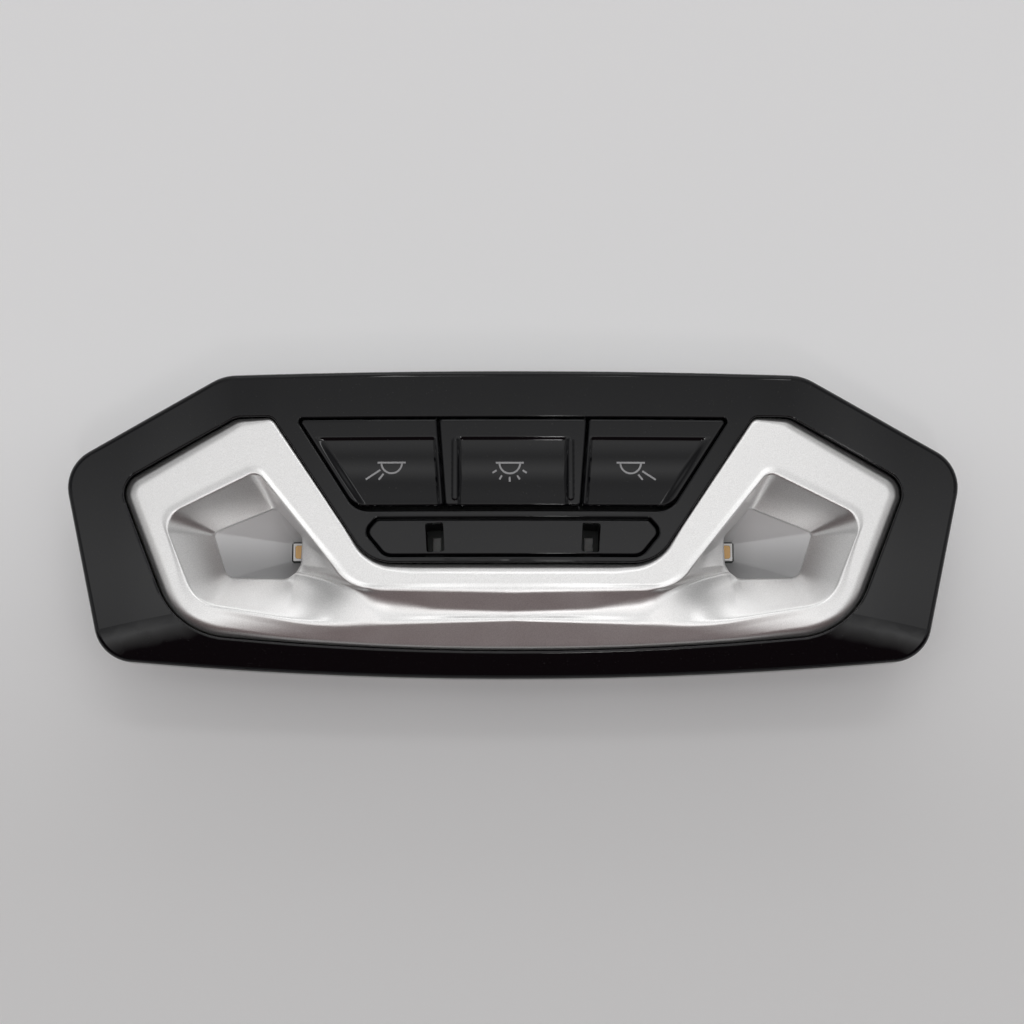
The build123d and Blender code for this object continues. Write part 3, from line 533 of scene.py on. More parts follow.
def ringed(vertices: Array, quads: Array, outward: bool) -> Array:
    """Turn all faces of a ring away from the middle of its vertices, or towards it.

    Args:
        vertices: places of the vertices.
        quads: faces.
        outward: whether they face away from the middle.

    Returns:
        The faces, turned where needed.
    """
    corners = vertices[quads]
    normals = np.cross(corners[:, 2] - corners[:, 0], corners[:, 3] - corners[:, 1])
    away = ((corners.mean(axis=1) - vertices.mean(axis=0)) * normals).sum() > 0
    return quads if bool(away) is outward else quads[:, ::-1]


@dataclass
class Piece:
    """Collects surfaces in millimetres and turns them into one object."""

    name: str
    vertices: list[Array] = field(default_factory=list)
    faces: list[Array] = field(default_factory=list)
    count: int = 0

    def add(self, vertices: Array, quads: Array, toward: Triple | None = UP) -> None:
        """Add one surface.

        Args:
            vertices: places of its vertices, three numbers each.
            quads: its faces, counted from its own first vertex.
            toward: direction that the surface faces as a whole, or None where it is already right.
        """
        vertices = vertices.reshape(-1, 3)
        if toward is not None:
            quads = faced(vertices, quads, toward)
        self.vertices.append(vertices)
        self.faces.append(quads + self.count)
        self.count += len(vertices)

    def make(self, body: str, coat: Coat, merge: float = 0.002) -> bpy.types.Object:
        """Build the object, let it ride on a body and dress it.

        Args:
            body: body of the frame that it moves with.
            coat: its finish.
            merge: distance in millimetres under which vertices become one.

        Returns:
            The new object.
        """
        mesh = bpy.data.meshes.new(self.name)
        mesh.from_pydata(np.concatenate(self.vertices) * MM, [], np.concatenate(self.faces).tolist())
        work = bmesh.new()
        work.from_mesh(mesh)
        bmesh.ops.remove_doubles(work, verts=work.verts, dist=merge * MM)
        work.to_mesh(mesh)
        work.free()
        mesh.shade_smooth()
        obj = bpy.data.objects.new(self.name, mesh)
        bpy.context.scene.collection.objects.link(obj)
        coat.on(obj)
        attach(obj, body)
        LOG.info("%s: %d vertices", self.name, len(mesh.vertices))
        return obj


def thicken(obj: bpy.types.Object, thickness: float) -> None:
    """Give a skin its wall, inwards from the outer face.

    Args:
        obj: the skin.
        thickness: wall in millimetres.
    """
    wall = obj.modifiers.new("wall", "SOLIDIFY")
    wall.thickness = thickness * MM
    wall.offset = -1.0


def round_bar(start: Triple, end: Triple, radius: float, sides: int = 24) -> tuple[Array, Array]:
    """Closed round bar between two points: a circle carried along the line, with shrunken rings as its ends.

    Args:
        start: middle of the first end.
        end: middle of the second end.
        radius: radius of the bar.
        sides: number of sides.

    Returns:
        Vertices and faces.
    """
    first, last = np.array(start, float), np.array(end, float)
    along = (last - first) / np.linalg.norm(last - first)
    side = np.cross(along, (0.3, 0.5, 0.8))
    side /= np.linalg.norm(side)
    turn = np.linspace(0, 2 * pi, sides, endpoint=False)
    ring = np.outer(np.cos(turn), side) + np.outer(np.sin(turn), np.cross(along, side))
    share = np.array(BAR_SHARES) * radius
    lift = np.array(BAR_LIFTS) * radius
    ends = np.stack([first, first, first, last, last, last]) + np.outer(lift, along)
    vertices = ends[:, None] + share[:, None, None] * ring[None]
    return vertices.reshape(-1, 3), grid_quads(len(share), sides, closed=True)


def resample(path: Array, count: int) -> Array:
    """Points at equal distances along a path, without its last point.

    Args:
        path: the path's points.
        count: number of points.

    Returns:
        The new points.
    """
    length = np.concatenate([[0.0], np.cumsum(np.linalg.norm(np.diff(path, axis=0), axis=1))])
    at = np.linspace(0.0, length[-1], count + 1)[:-1]
    return np.stack([np.interp(at, length, path[:, axis]) for axis in range(path.shape[1])], axis=1)


def rounded_corner(before: Point, corner: Point, after: Point, radius: float, count: int = 60) -> Array:
    """Arc of a given radius that touches both legs of a corner.

    Args:
        before: a point on the first leg.
        corner: the corner itself.
        after: a point on the second leg.
        radius: radius of the arc.
        count: number of points.

    Returns:
        Points from the first leg to the second.
    """
    middle = np.array(corner, float)
    first = (middle - before) / np.linalg.norm(middle - before)
    second = (np.array(after, float) - middle) / np.linalg.norm(np.array(after, float) - middle)
    cross = first[0] * second[1] - first[1] * second[0]
    turn = np.arctan2(cross, first @ second)
    start = middle - first * radius * tan(abs(turn) / 2)
    normal = np.sign(turn) * np.array([-first[1], first[0]])
    angle = np.linspace(0.0, abs(turn), count)
    return start + radius * (np.outer(np.sin(angle), first) + np.outer(1 - np.cos(angle), normal))


def corner_path(points: list[Point], radii: list[float]) -> list[Array]:
    """Path through points with rounded corners, cut where its arcs start and end.

    Args:
        points: first point, corners and last point.
        radii: radius of each corner.

    Returns:
        Leg, arc, leg, arc and so on, each as points.
    """
    arcs = [rounded_corner(*points[i:i + 3], radii[i]) for i in range(len(radii))]
    pieces, at = [], np.array(points[0], float)
    for arc in arcs:
        pieces += [np.stack([at, arc[0]]), arc]
        at = arc[-1]
    return pieces + [np.stack([at, np.array(points[-1], float)])]


def split(path: Array, ends: tuple | Array) -> list[Array]:
    """Cut a path in pieces that share their end points.

    Args:
        path: the path's points.
        ends: number of the path's points up to the end of each piece but the last.

    Returns:
        The pieces.
    """
    starts = (0, *(end - 1 for end in ends))
    return [path[start:end] for start, end in zip(starts, (*ends, len(path)))]


def smooth_step(value: Array) -> Array:
    """Smooth step: the value held between 0 and 1, squared, times three less twice the value.

    Args:
        value: the values.

    Returns:
        Shares from 0 to 1.
    """
    held = np.clip(value, 0, 1)
    return held**2 * (3 - 2 * held)


@dataclass
class Front:
    """Front surface that all front pieces share: a crown along X, cut by a slope along the lower edge."""

    top: float = 28.0
    crown: float = 750.0
    slope_y: float = -16.0
    slope: float = radians(26.0)
    blend: float = 1.93

    def height(self, x: Array, y: Array, depth: float | Array = 0.0) -> Array:
        """Height of the surface: the lower one of crown and slope, rounded where they meet.

        The rounding takes off a quarter of blend where both are equal, and less the further they lie apart.

        Args:
            x: distances from the middle.
            y: heights on the face.
            depth: distance under the surface.

        Returns:
            Heights above the back.
        """
        crown = self.top - self.crown + np.sqrt(self.crown**2 - x**2)
        slope = self.top + (y - self.slope_y) * tan(self.slope)
        near = np.maximum(self.blend - np.abs(crown - slope), 0.0) / self.blend
        return np.minimum(crown, slope) - near**2 * self.blend / 4 - depth


@dataclass
class SilverTrim:
    """Silver trim: rolled border, face, rounded recess edge, funnel walls and channel, one side mirrored.

    Border, mouth and floor line are cut in the same number of pieces with the same steps. Rolls, edges and
    ridges are given at the ends of these pieces.
    """

    front: Front
    gap: float = 0.2
    inset: float = 0.45
    rolls: tuple = (0.9, 0.9, 1.1, 2.0, 2.8, 2.8, 2.8, 2.4, 0.7, 0.5, 0.5, 1.2, 2.3, 2.4)
    roll_fall: float = 0.42
    edges: tuple = (0.5, 0.5, 0.6, 0.6, 0.5, 0.4, 0.35, 0.35, 0.5, 0.5, 0.5, 0.5, 0.5, 0.5)
    edge_limit: float = 0.45
    ridges: tuple = (0.0, 0.0, 0.05, 0.10, 0.12, 0.12, 0.12, 0.15, 0.24, 0.26, 0.26, 0.24, 0.22, 0.22)
    ridge_width: float = 1.9
    flange: float = 1.0
    flange_depth: float = 2.35
    wall: float = 1.2
    border: tuple = (
        (50.0, -23.24), (66.9, -21.7), (79.1, 8.4), (55.5, 21.5), (48.1, 21.5), (28.4, -8.0), (0.0, -8.0),
    )
    border_radii: tuple = (16.0, 4.5, 5.0, 2.2, 8.5)
    border_low: float = -25.2
    border_bow: float = 3.5
    border_run_x: float = 44.0
    border_slant: tuple = (170, 260)
    border_panel: float = 0.15
    mouth: tuple = (
        (0.0, -19.05), (38.0, -20.2), (63.1, -15.7), (70.0, 1.4), (51.15, 10.6), (32.1, -13.0), (0.0, -13.7),
    )
    mouth_radii: tuple = (60.0, 8.0, 4.0, 2.5, 8.0)
    mouth_run_x: float = 45.0
    mouth_slant: tuple = (180, 260)
    window: tuple = ((45.9, -10.38), (58.2, -10.05), (61.1, -1.1), (48.4, 3.9), (43.05, -2.0), (43.3, -7.6))
    window_radii: tuple = (2.0, 2.2, 0.9, 1.5, 2.2, 2.0)
    window_close: Point = (44.2, -9.1)
    pocket_x: float = 55.0
    pocket_depth: float = 6.8
    tail: Point = (24.0, -18.15)
    valley_y: float = -18.3
    valley_depth: float = 2.45
    run_bends: tuple = ((29.5, -18.15, 2.45), (31.0, -11.8, -0.4))
    soft: tuple = (0.25, 0.45, 0.3, 0.0, 0.0, 0.4, 0.8, 0.8, 0.35, 0.25)
    soft_steps: tuple = (6, 12)
    lip: float = 0.3
    lip_shares: Triple = (0.0, 0.4, 1.0)
    counts: tuple = (34, 30, 34, 22, 30, 18, 34, 14, 36, 14, 22, 30, 34)
    low_points: int = 200
    slant_points: int = 300
    run_points: int = 60
    roll_rows: int = 13
    face_rows: int = 22
    face_crowding: float = 1.7
    edge_rows: int = 9
    wall_rows: int = 17

    def border_line(self) -> Array:
        """Edge of the opening from the bottom middle round to the panel middle, in matched steps.

        Returns:
            Points in the plane.
        """
        x = np.linspace(0.0, self.border[0][0], self.low_points)
        low = np.stack([x, self.border_low + self.border_bow * (x / self.border[1][0]) ** 2], axis=1)
        legs = corner_path(list(self.border), list(self.border_radii))
        start, run, low_leg = split(low, np.searchsorted(x, (self.tail[0], self.border_run_x)) + 1)
        upper, middle, lower = split(resample(legs[8], self.slant_points), self.border_slant)
        bend, bend_end = split(legs[9], (len(legs[9]) // 2,))
        panel = legs[10]
        panel_cut = panel[0] + (panel[1] - panel[0]) * self.border_panel
        pieces = [
            start, run, np.concatenate([low_leg, legs[0]]), *legs[1:5], np.concatenate(legs[5:8]),
            upper, middle, np.concatenate([lower, bend]), np.concatenate([bend_end, [panel_cut]]),
            np.stack([panel_cut, panel[1]]),
        ]
        return self.chain(pieces, self.border[-1])

    def mouth_line(self) -> Array:
        """Edge of the recess from the lower crest round the pocket to the channel's top, in matched steps.

        Returns:
            Points in the plane.
        """
        legs = corner_path(list(self.mouth), list(self.mouth_radii))
        crest, lower_side = resample(legs[0], self.low_points), resample(legs[2], self.low_points // 2)
        low = np.concatenate([crest, legs[1], lower_side])
        start, run, low_leg = split(low, np.searchsorted(low[:, 0], (self.tail[0], self.mouth_run_x)) + 1)
        upper, middle, lower = split(resample(legs[8], self.slant_points), self.mouth_slant)
        top = resample(legs[10], self.slant_points)
        back, end = split(top, (len(top) - np.searchsorted(top[::-1, 0], self.tail[0]) + 1,))
        pieces = [
            start, run, np.concatenate([low_leg, legs[2][-1:]]), *legs[3:8], upper, middle, lower,
            np.concatenate([lower[-1:], legs[9], back]), np.concatenate([end, legs[10][-1:]]),
        ]
        return self.chain(pieces, self.mouth[-1])

    def on_pocket(self, path: Array) -> Array:
        """Lay a path on the tilted plane of the pocket's window.

        Args:
            path: points in that plane.

        Returns:
            Points in space.
        """
        tilt = self.pocket_x / self.front.crown
        drop = self.front.crown * (1 - cos(tilt))
        x = path[:, 0] * cos(tilt) - self.pocket_depth * sin(tilt)
        middle_z = self.front.top - self.inset - drop - self.pocket_depth / cos(tilt)
        return np.stack([x, path[:, 1], middle_z - (x - self.pocket_x) * tan(tilt)], axis=1)

    def floor_line(self) -> Array:
        """Valley of the channel, its run down to the window, the window and the way back, in matched steps.

        The run is a cubic Bezier curve from the valley's tail over two bends to the window.

        Returns:
            Points in space.
        """
        legs = corner_path([self.window_close, *self.window, self.window_close], list(self.window_radii))
        loop = [self.on_pocket(leg) for leg in legs]
        valley_z = self.front.top - self.valley_depth
        valley = np.array([[0.0, self.valley_y, valley_z], [*self.tail, valley_z]])
        level, saddle = (np.array([*bend, self.front.top - depth]) for *bend, depth in self.run_bends)
        share = np.linspace(0.0, 1.0, self.run_points)[:, None]
        rest = 1 - share
        first_half = rest**3 * valley[1] + 3 * rest**2 * share * level
        run = first_half + 3 * rest * share**2 * saddle + share**3 * loop[0][0]
        pieces = [
            valley, run, np.concatenate(loop[:3]), *loop[3:10], np.concatenate(loop[10:]),
            run[::-1], valley[::-1],
        ]
        return self.chain(pieces, (0.0, self.valley_y, valley_z))

    def chain(self, pieces: list[Array], last: tuple) -> Array:
        """Join pieces of a line, each with its own number of equal steps.

        Args:
            pieces: the pieces in order.
            last: the line's last point.

        Returns:
            All points.
        """
        steps = [resample(piece, count) for piece, count in zip(pieces, self.counts)]
        return np.concatenate([*steps, np.array(last, float)[None]])

    def bounds(self) -> Array:
        """Return the numbers of the sections at the ends of the line's pieces."""
        return np.cumsum((0,) + self.counts)

    def along(self, values: tuple) -> Array:
        """One value for each section, straight between the values at the ends of the line's pieces.

        Args:
            values: the values at the ends.

        Returns:
            A column of values.
        """
        bounds = self.bounds()
        return np.interp(np.arange(bounds[-1] + 1), bounds, values)[:, None]

    def softness(self) -> Array:
        """Share of each wall that flattens out towards its floor line.

        It is largest on the upper wall of the run, smaller in the channel, and nothing at the window.

        Returns:
            One share for each section.
        """
        bounds = self.bounds()
        near, far = self.soft_steps
        at = (
            0, bounds[1], bounds[2], bounds[2] + near, bounds[11] - near, bounds[11],
            (bounds[11] + bounds[12]) / 2, bounds[12], bounds[12] + far, bounds[13],
        )
        return np.interp(np.arange(bounds[-1] + 1), at, self.soft)

    def under(self, flat: Array, depth: float | Array) -> Array:
        """Set points of the plane under the front surface.

        Args:
            flat: points in the plane.
            depth: distance under the surface.

        Returns:
            Points in space.
        """
        return np.concatenate([flat, self.front.height(flat[:, 0], flat[:, 1], depth)[:, None]], axis=1)

    def sections(self) -> tuple[Array, Array]:
        """Section lines across the trim, from the hidden flange to the window or valley.

        A section is a step up from the flange, a parabola of the roll, a straight run on the front surface
        that swells to a low ridge, a quadratic curve round the recess edge and a straight wall, which
        flattens out towards the valley.

        Returns:
            The sections as rows of points, and the lip of the window.
        """
        line = self.border_line()
        along = np.gradient(line, axis=0)
        along[[0, -1]] = ((1.0, 0.0), (-1.0, 0.0))
        along /= np.linalg.norm(along, axis=1, keepdims=True)
        inward = np.stack([-along[:, 1], along[:, 0]], axis=1)
        mouth, floor = self.mouth_line(), self.floor_line()
        edge = line + self.gap * inward
        rows = [self.under(flat, self.flange_depth) for flat in (line - self.flange * inward, edge)]
        roll, round_edge, ridge = (self.along(values) for values in (self.rolls, self.edges, self.ridges))
        for share in np.linspace(0.0, 1.0, self.roll_rows):
            fall = self.roll_fall * roll[:, 0] * (1 - share) ** 2
            rows.append(self.under(edge + roll * share * inward, self.inset + fall))
        start = edge + roll * inward
        reach = np.linalg.norm(mouth - start, axis=1, keepdims=True)
        shoulder = mouth + (start - mouth) * np.minimum(round_edge / reach, self.edge_limit)
        for share in 1 - np.linspace(1, 0, self.face_rows)[1:] ** self.face_crowding:
            flat = start + (shoulder - start) * share
            swell = smooth_step(1 - np.linalg.norm(mouth - flat, axis=1) / self.ridge_width)
            rows.append(self.under(flat, self.inset - ridge[:, 0] * swell))
        rim = self.under(mouth, self.inset - ridge[:, 0])
        reach = np.linalg.norm(floor - rim, axis=1, keepdims=True)
        below = rim + (floor - rim) * np.minimum(round_edge / reach, self.edge_limit)
        first = rows[-1]
        for share in np.linspace(0, 1, self.edge_rows)[1:]:
            rows.append((1 - share) ** 2 * first + 2 * share * (1 - share) * rim + share**2 * below)
        soft = self.softness()[:, None]
        for share in np.linspace(0, 1, self.wall_rows)[1:]:
            rest = 1 - share
            round_off = np.where(rest > soft, rest - soft / 2, rest**2 / np.maximum(2 * soft, TINY))
            wall = below + (floor - below) * share
            wall[:, 2:] = floor[:, 2:] + (below - floor)[:, 2:] * round_off / (1 - soft / 2)
            rows.append(wall)
        bounds = self.bounds()
        loop = floor[bounds[2]:bounds[11]]
        return np.stack(rows), np.stack([loop - (0.0, 0.0, share * self.lip) for share in self.lip_shares])

    def build(self) -> bpy.types.Object:
        """Build both sides as one skin with a wall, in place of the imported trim.

        Returns:
            The trim.
        """
        rows, lip = self.sections()
        piece = Piece("silver_trim_skin")
        for side in (1.0, -1.0):
            flip = np.array([side, 1.0, 1.0])
            piece.add(rows * flip, grid_quads(*rows.shape[:2]))
            ring = (lip * flip).reshape(-1, 3)
            piece.add(ring, ringed(ring, grid_quads(*lip.shape[:2], closed=True), False), None)
        obj = piece.make("lamp", Coat.SILVER)
        thicken(obj, self.wall)
        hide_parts("silver_trim")
        return obj


class Place(Enum):
    """Places of the three keys."""

    LEFT = "left"
    CENTRE = "centre"
    RIGHT = "right"


@dataclass
class PushKey:
    """One push key: ledge, dished face, rounded edges, walls, hinge rod and pusher."""

    front: Front
    place: Place
    inset: float = 0.15
    top: float = 20.75
    low: float = 3.4
    opening_low: Point = (31.2, 2.2)
    opening_run: float = 0.6455
    split_low: float = 13.5
    split_run: float = 0.0767
    gap: float = 0.35
    gap_stretch: float = 1.19
    split_gap: float = 0.25
    edge: float = 0.4
    skirt_z: float = 22.2
    low_radius: float = 4.0
    corner_radius: float = 0.6
    leg_ends: Point = (9.0, 0.5)
    dish_top: float = 17.3
    dish_step: float = 0.95
    dish_depths: Triple = (0.5, 0.95, 0.5)
    dish_low: float = 2.6
    side_step: float = 0.9
    side_starts: Point = (0.55, 0.7)
    outer_stretch: float = 2.2
    bead: tuple = (11.5, 10.6, 12.5, 1.3, 0.3)
    wall: float = 1.2
    pivot: Point = (16.8, 22.6)
    rod: float = 1.2
    rod_ends: Triple = (1.3, 0.8, 1.0)
    press: Point = (27.0, 6.8)
    pusher: float = 1.5
    pusher_z: float = 18.5
    pusher_depth: float = 2.0
    step_margins: Point = (0.15, 0.3)
    low_band: float = 3.5
    side_band: float = 3.2
    rows: tuple = (8, 14, 26, 34, 30)
    columns: tuple = (30, 56)
    outline_points: int = 900
    batches: int = 24

    def slant_x(self, y: Array | float) -> Array | float:
        """Outer side of a side key at height y."""
        opening = self.opening_low[0] + (y - self.opening_low[1]) * self.opening_run
        return opening - self.gap * self.gap_stretch

    def split_x(self, y: Array | float, shift: float) -> Array | float:
        """Line between two keys at height y, moved out by shift."""
        return self.split_low + (y - self.opening_low[1]) * self.split_run + shift

    def sides(self) -> tuple[Array, Array]:
        """Left and right side line of the key from top to bottom, with the corner rounding.

        Returns:
            Two lines of points, drawn for the centre key or the right-hand key.
        """
        small = [self.corner_radius, self.corner_radius]
        if self.place is Place.CENTRE:
            right = [
                (0.0, self.top), (self.split_x(self.top, -self.split_gap), self.top),
                (self.split_x(self.low, -self.split_gap), self.low), (0.0, self.low),
            ]
            chain = np.concatenate(corner_path(right, small)[1:-1])
            return chain * (-1.0, 1.0), chain
        far, near = self.leg_ends
        first = (self.split_x(self.top, far), self.top)
        inner = [
            first, (self.split_x(self.top, self.split_gap), self.top),
            (self.split_x(self.low, self.split_gap), self.low), (self.split_x(self.low, far), self.low),
        ]
        outer = [
            first, (self.slant_x(self.top), self.top),
            (self.slant_x(self.low), self.low), (self.split_x(self.low, near), self.low),
        ]
        left = np.concatenate(corner_path(inner, small)[1:-1])
        return left, np.concatenate(corner_path(outer, [self.corner_radius, self.low_radius])[1:-1])

    def depth(self, x: Array, y: Array) -> Array:
        """Depth of the key's face under the front surface.

        The ledge lies at the inset. Below it the face steps down and hollows along a parabola through three
        depths; the hollow fades out in a smooth step along both sides. The centre key adds two round-topped
        beads.

        Args:
            x: distances from the middle, for the right-hand key.
            y: heights on the face.

        Returns:
            Depths.
        """
        start = self.dish_top - self.dish_step
        heights = np.array([start, (self.dish_top + self.dish_low) / 2, self.dish_low])
        curve = np.polynomial.polynomial.Polynomial.fit(heights, self.dish_depths, 2)
        ramp = smooth_step((self.dish_top - y) / self.dish_step)
        if self.place is Place.CENTRE:
            across = smooth_step((self.bead[0] - self.bead[3] - np.abs(x)) / self.side_step + 1)
        else:
            inner, outer = self.side_starts
            across = smooth_step((x - self.split_x(y, inner)) / self.side_step)
            outer_step = self.outer_stretch * self.side_step
            across = across * smooth_step((self.slant_x(y) - x - outer) / outer_step)
        hollow = self.inset + (curve(np.minimum(y, start)) - self.inset) * ramp * across
        if self.place is not Place.CENTRE:
            return hollow
        bead_x, bead_y, length, width, rise = self.bead
        off = np.maximum(np.abs(y - bead_y) - (length - width) / 2, 0.0)
        away = np.hypot(np.abs(x) - bead_x, off) / (width / 2)
        return hollow - rise * np.sqrt(np.clip(1 - away**2, 0, 1))

    def height(self, x: Array, y: Array) -> Array:
        """Height of the face above the back, without the edge rounding."""
        side = np.abs(x) if self.place is not Place.CENTRE else x
        return self.front.height(x, y, self.depth(side, y))

    def face(self) -> Array:
        """Face of the right-hand or centre key on a grid of rows down and columns across.

        Rows and columns crowd along the rounded edges and the step; near the outline the face drops as a
        quarter circle does.

        Returns:
            Rows of points.
        """
        edge_rows, ledge_rows, step_rows, dish_rows, low_rows = self.rows
        turn = self.edge * (1 - np.cos(np.linspace(0, pi / 2, edge_rows)))
        above, under = self.step_margins
        near_step = np.linspace(self.dish_top + above, self.dish_top - self.dish_step - under, step_rows)
        foot = self.low + self.edge
        y = np.concatenate([
            self.top - turn, np.linspace(self.top - self.edge, near_step[0], ledge_rows)[1:-1], near_step,
            np.linspace(near_step[-1], foot + self.low_band, dish_rows)[1:],
            np.linspace(foot + self.low_band, foot, low_rows)[1:-1], self.low + turn[::-1],
        ])
        left, right = self.sides()
        start = np.interp(-y, -left[:, 1], left[:, 0])[:, None]
        end = np.interp(-y, -right[:, 1], right[:, 0])[:, None]
        band = self.side_band
        fine = np.linspace(self.edge, band, self.columns[0])[None]
        inner = np.linspace(0, 1, self.columns[1])[None, 1:-1]
        x = np.concatenate([
            start + turn[None], start + fine[:, 1:], start + band + (end - start - 2 * band) * inner,
            end - fine[:, :0:-1], end - turn[None, ::-1],
        ], axis=1)
        y = np.broadcast_to(y[:, None], x.shape)
        outline = resample(np.concatenate([left, right[::-1], left[:1]]), self.outline_points)
        flat = np.stack([x.ravel(), y.ravel()], axis=1)
        away = np.concatenate([
            np.sqrt(((part[:, None] - outline[None]) ** 2).sum(axis=2).min(axis=1))
            for part in np.array_split(flat, self.batches)
        ]).reshape(x.shape)
        inside = np.clip(1 - away / self.edge, 0, 1)
        drop = self.edge * (1 - np.sqrt(1 - inside**2))
        return np.stack([x, y, self.front.height(x, y, self.depth(x, y)) - drop], axis=2)

    def build(self) -> bpy.types.Object:
        """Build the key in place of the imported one.

        Returns:
            The key.
        """
        side = -1.0 if self.place is Place.LEFT else 1.0
        flip = np.array([side, 1.0, 1.0])
        face = self.face()
        rim = np.concatenate([face[0, :-1], face[:-1, -1], face[-1, :0:-1], face[:0:-1, 0]])
        under = rim.copy()
        under[:, 2] = self.skirt_z
        piece = Piece(f"{self.place.value}_key_cap")
        piece.add(face * flip, grid_quads(*face.shape[:2]))
        walls = (np.stack([rim, (2 * rim + under) / 3, under]) * flip).reshape(-1, 3)
        piece.add(walls, ringed(walls, grid_quads(3, len(rim), closed=True), True), None)
        obj = piece.make(f"{self.place.value}_key", Coat.BLACK)
        thicken(obj, self.wall)
        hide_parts(f"{self.place.value}_key")
        self.build_inside(side)
        return obj

    def build_inside(self, side: float) -> None:
        """Build the hinge rod and the pusher behind the key.

        Args:
            side: -1 for the left-hand key, otherwise 1.
        """
        middle_end, inner_end, outer_end = self.rod_ends
        if self.place is Place.CENTRE:
            middle, last = 0.0, self.split_x(self.pivot[0], -middle_end)
            first = -last
        else:
            middle, first = side * self.press[0], side * self.split_x(self.pivot[0], inner_end)
            last = side * (self.slant_x(self.pivot[0]) - outer_end)
        piece = Piece(f"{self.place.value}_key_rod")
        piece.add(*round_bar((first, *self.pivot), (last, *self.pivot), self.rod), None)
        top = float(self.front.height(np.array(middle), np.array(self.press[1]), self.pusher_depth))
        foot = (middle, self.press[1], self.pusher_z)
        piece.add(*round_bar(foot, (middle, self.press[1], top), self.pusher), None)
        piece.make(f"{self.place.value}_key", Coat.BLACK)


@dataclass
class KeyPrint:
    """Lamp pictogram of a key: lamp bar, half dome and light rays, printed as ribbons on the dished face."""

    key: PushKey
    bar: tuple[Point, Point]
    dome: Triple
    rays: tuple
    stroke: float = 0.36
    lift: float = 0.012
    strips: int = 4
    bar_points: int = 30
    dome_points: int = 40
    ray_points: int = 14

    def ribbon(self, line: Array) -> tuple[Array, Array]:
        """Flat ribbon of the stroke's width along a line, laid on the key's face.

        Args:
            line: points in the plane.

        Returns:
            Vertices and faces.
        """
        along = np.gradient(line, axis=0)
        along /= np.linalg.norm(along, axis=1, keepdims=True)
        aside = np.stack([-along[:, 1], along[:, 0]], axis=1)
        share = np.linspace(-0.5, 0.5, self.strips)[:, None, None] * self.stroke
        flat = line[None] + share * aside[None]
        height = self.key.height(flat[..., 0], flat[..., 1]) + self.lift
        vertices = np.concatenate([flat, height[..., None]], axis=2).reshape(-1, 3)
        return vertices, grid_quads(self.strips, len(line))

    def build(self) -> bpy.types.Object:
        """Build the strokes as one piece that moves with the key.

        Returns:
            The pictogram.
        """
        middle_x, middle_y, radius = self.dome
        turn = np.linspace(pi, 2 * pi, self.dome_points)
        arc = np.stack([middle_x + radius * np.cos(turn), middle_y + radius * np.sin(turn)], axis=1)
        rays = (np.linspace(*ray, self.ray_points) for ray in self.rays)
        place = self.key.place.value
        piece = Piece(f"{place}_key_print")
        for line in (np.linspace(*self.bar, self.bar_points), arc, *rays):
            piece.add(*self.ribbon(line))
        return piece.make(f"{place}_key", Coat.PRINT)


@dataclass
class SwitchDome:
    """Soft dome of a switch, under its key's pusher."""

    place: Place
    middle: Point = (27.0, 6.8)
    foot_z: float = 14.05
    top_z: float = 18.4
    radius: float = 1.6
    rounding: float = 0.7
    kept: float = 0.82
    bend_points: int = 9
    sides: int = 32

    def build(self) -> bpy.types.Object:
        """Build the dome: a straight wall, a quarter circle and a flat top, turned about the dome's axis.

        Returns:
            The dome.
        """
        side = {Place.LEFT: -1.0, Place.CENTRE: 0.0, Place.RIGHT: 1.0}[self.place]
        x, y = side * self.middle[0], self.middle[1]
        bend = np.linspace(0.0, pi / 2, self.bend_points)
        reach = self.radius - self.rounding * (1 - np.cos(bend))
        lift = self.top_z - self.rounding * (1 - np.sin(bend))
        radii = np.concatenate([[TIP, self.radius], reach, [TIP]])
        heights = np.concatenate([[self.foot_z, self.foot_z], lift, [self.top_z]])
        turn = np.linspace(0.0, 2 * pi, self.sides, endpoint=False)
        around = np.stack([np.cos(turn), np.sin(turn)], axis=1)
        flat = radii[:, None, None] * around[None] + (x, y)
        tall = np.broadcast_to(heights[:, None, None], (*flat.shape[:2], 1))
        piece = Piece(f"{self.place.value}_dome_cap")
        quads = grid_quads(len(radii), self.sides, closed=True)
        piece.add(np.concatenate([flat, tall], axis=2), quads, None)
        obj = piece.make("lamp", Coat.DOME)
        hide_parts(f"{self.place.value}_switch_dome")
        anchor = (x * MM, y * MM, self.foot_z * MM)
        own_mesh(obj)
        return obj


NODE_COATS: dict[Coat, tuple[str, ...]] = {
    Coat.BLACK: ("bezel_frame", "light_bar"),
    Coat.MIRROR: ("left_reflector", "right_reflector"),
    Coat.PACKAGE: (
        "left_led_package", "right_led_package", "left_courtesy_led", "right_courtesy_led", "key_lights",
    ),
    Coat.PHOSPHOR: ("left_led_phosphor", "right_led_phosphor"),
    Coat.CARRIER: ("key_carrier",),
    Coat.MASK: ("circuit_board",),
    Coat.SWITCH: ("left_switch_body", "centre_switch_body", "right_switch_body"),
    Coat.CHIP: ("driver_chip",),
    Coat.HOUSING: ("rear_housing",),
    Coat.SHROUD: ("connector_shroud",),
    Coat.BRASS: ("connector_pins",),
    Coat.SPRING: ("upper_left_clip", "upper_right_clip", "lower_left_clip", "lower_right_clip"),
    Coat.SCREW: ("housing_screws", "board_screws"),
}


@dataclass
class Insides:
    """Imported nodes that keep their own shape, by finish."""

    coats: dict[Coat, tuple[str, ...]] = field(default_factory=NODE_COATS.copy)

    def dress(self) -> None:
        """Give every kept node its finish."""
        for coat, names in self.coats.items():
            coat.on(*(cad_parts[name] for name in names))


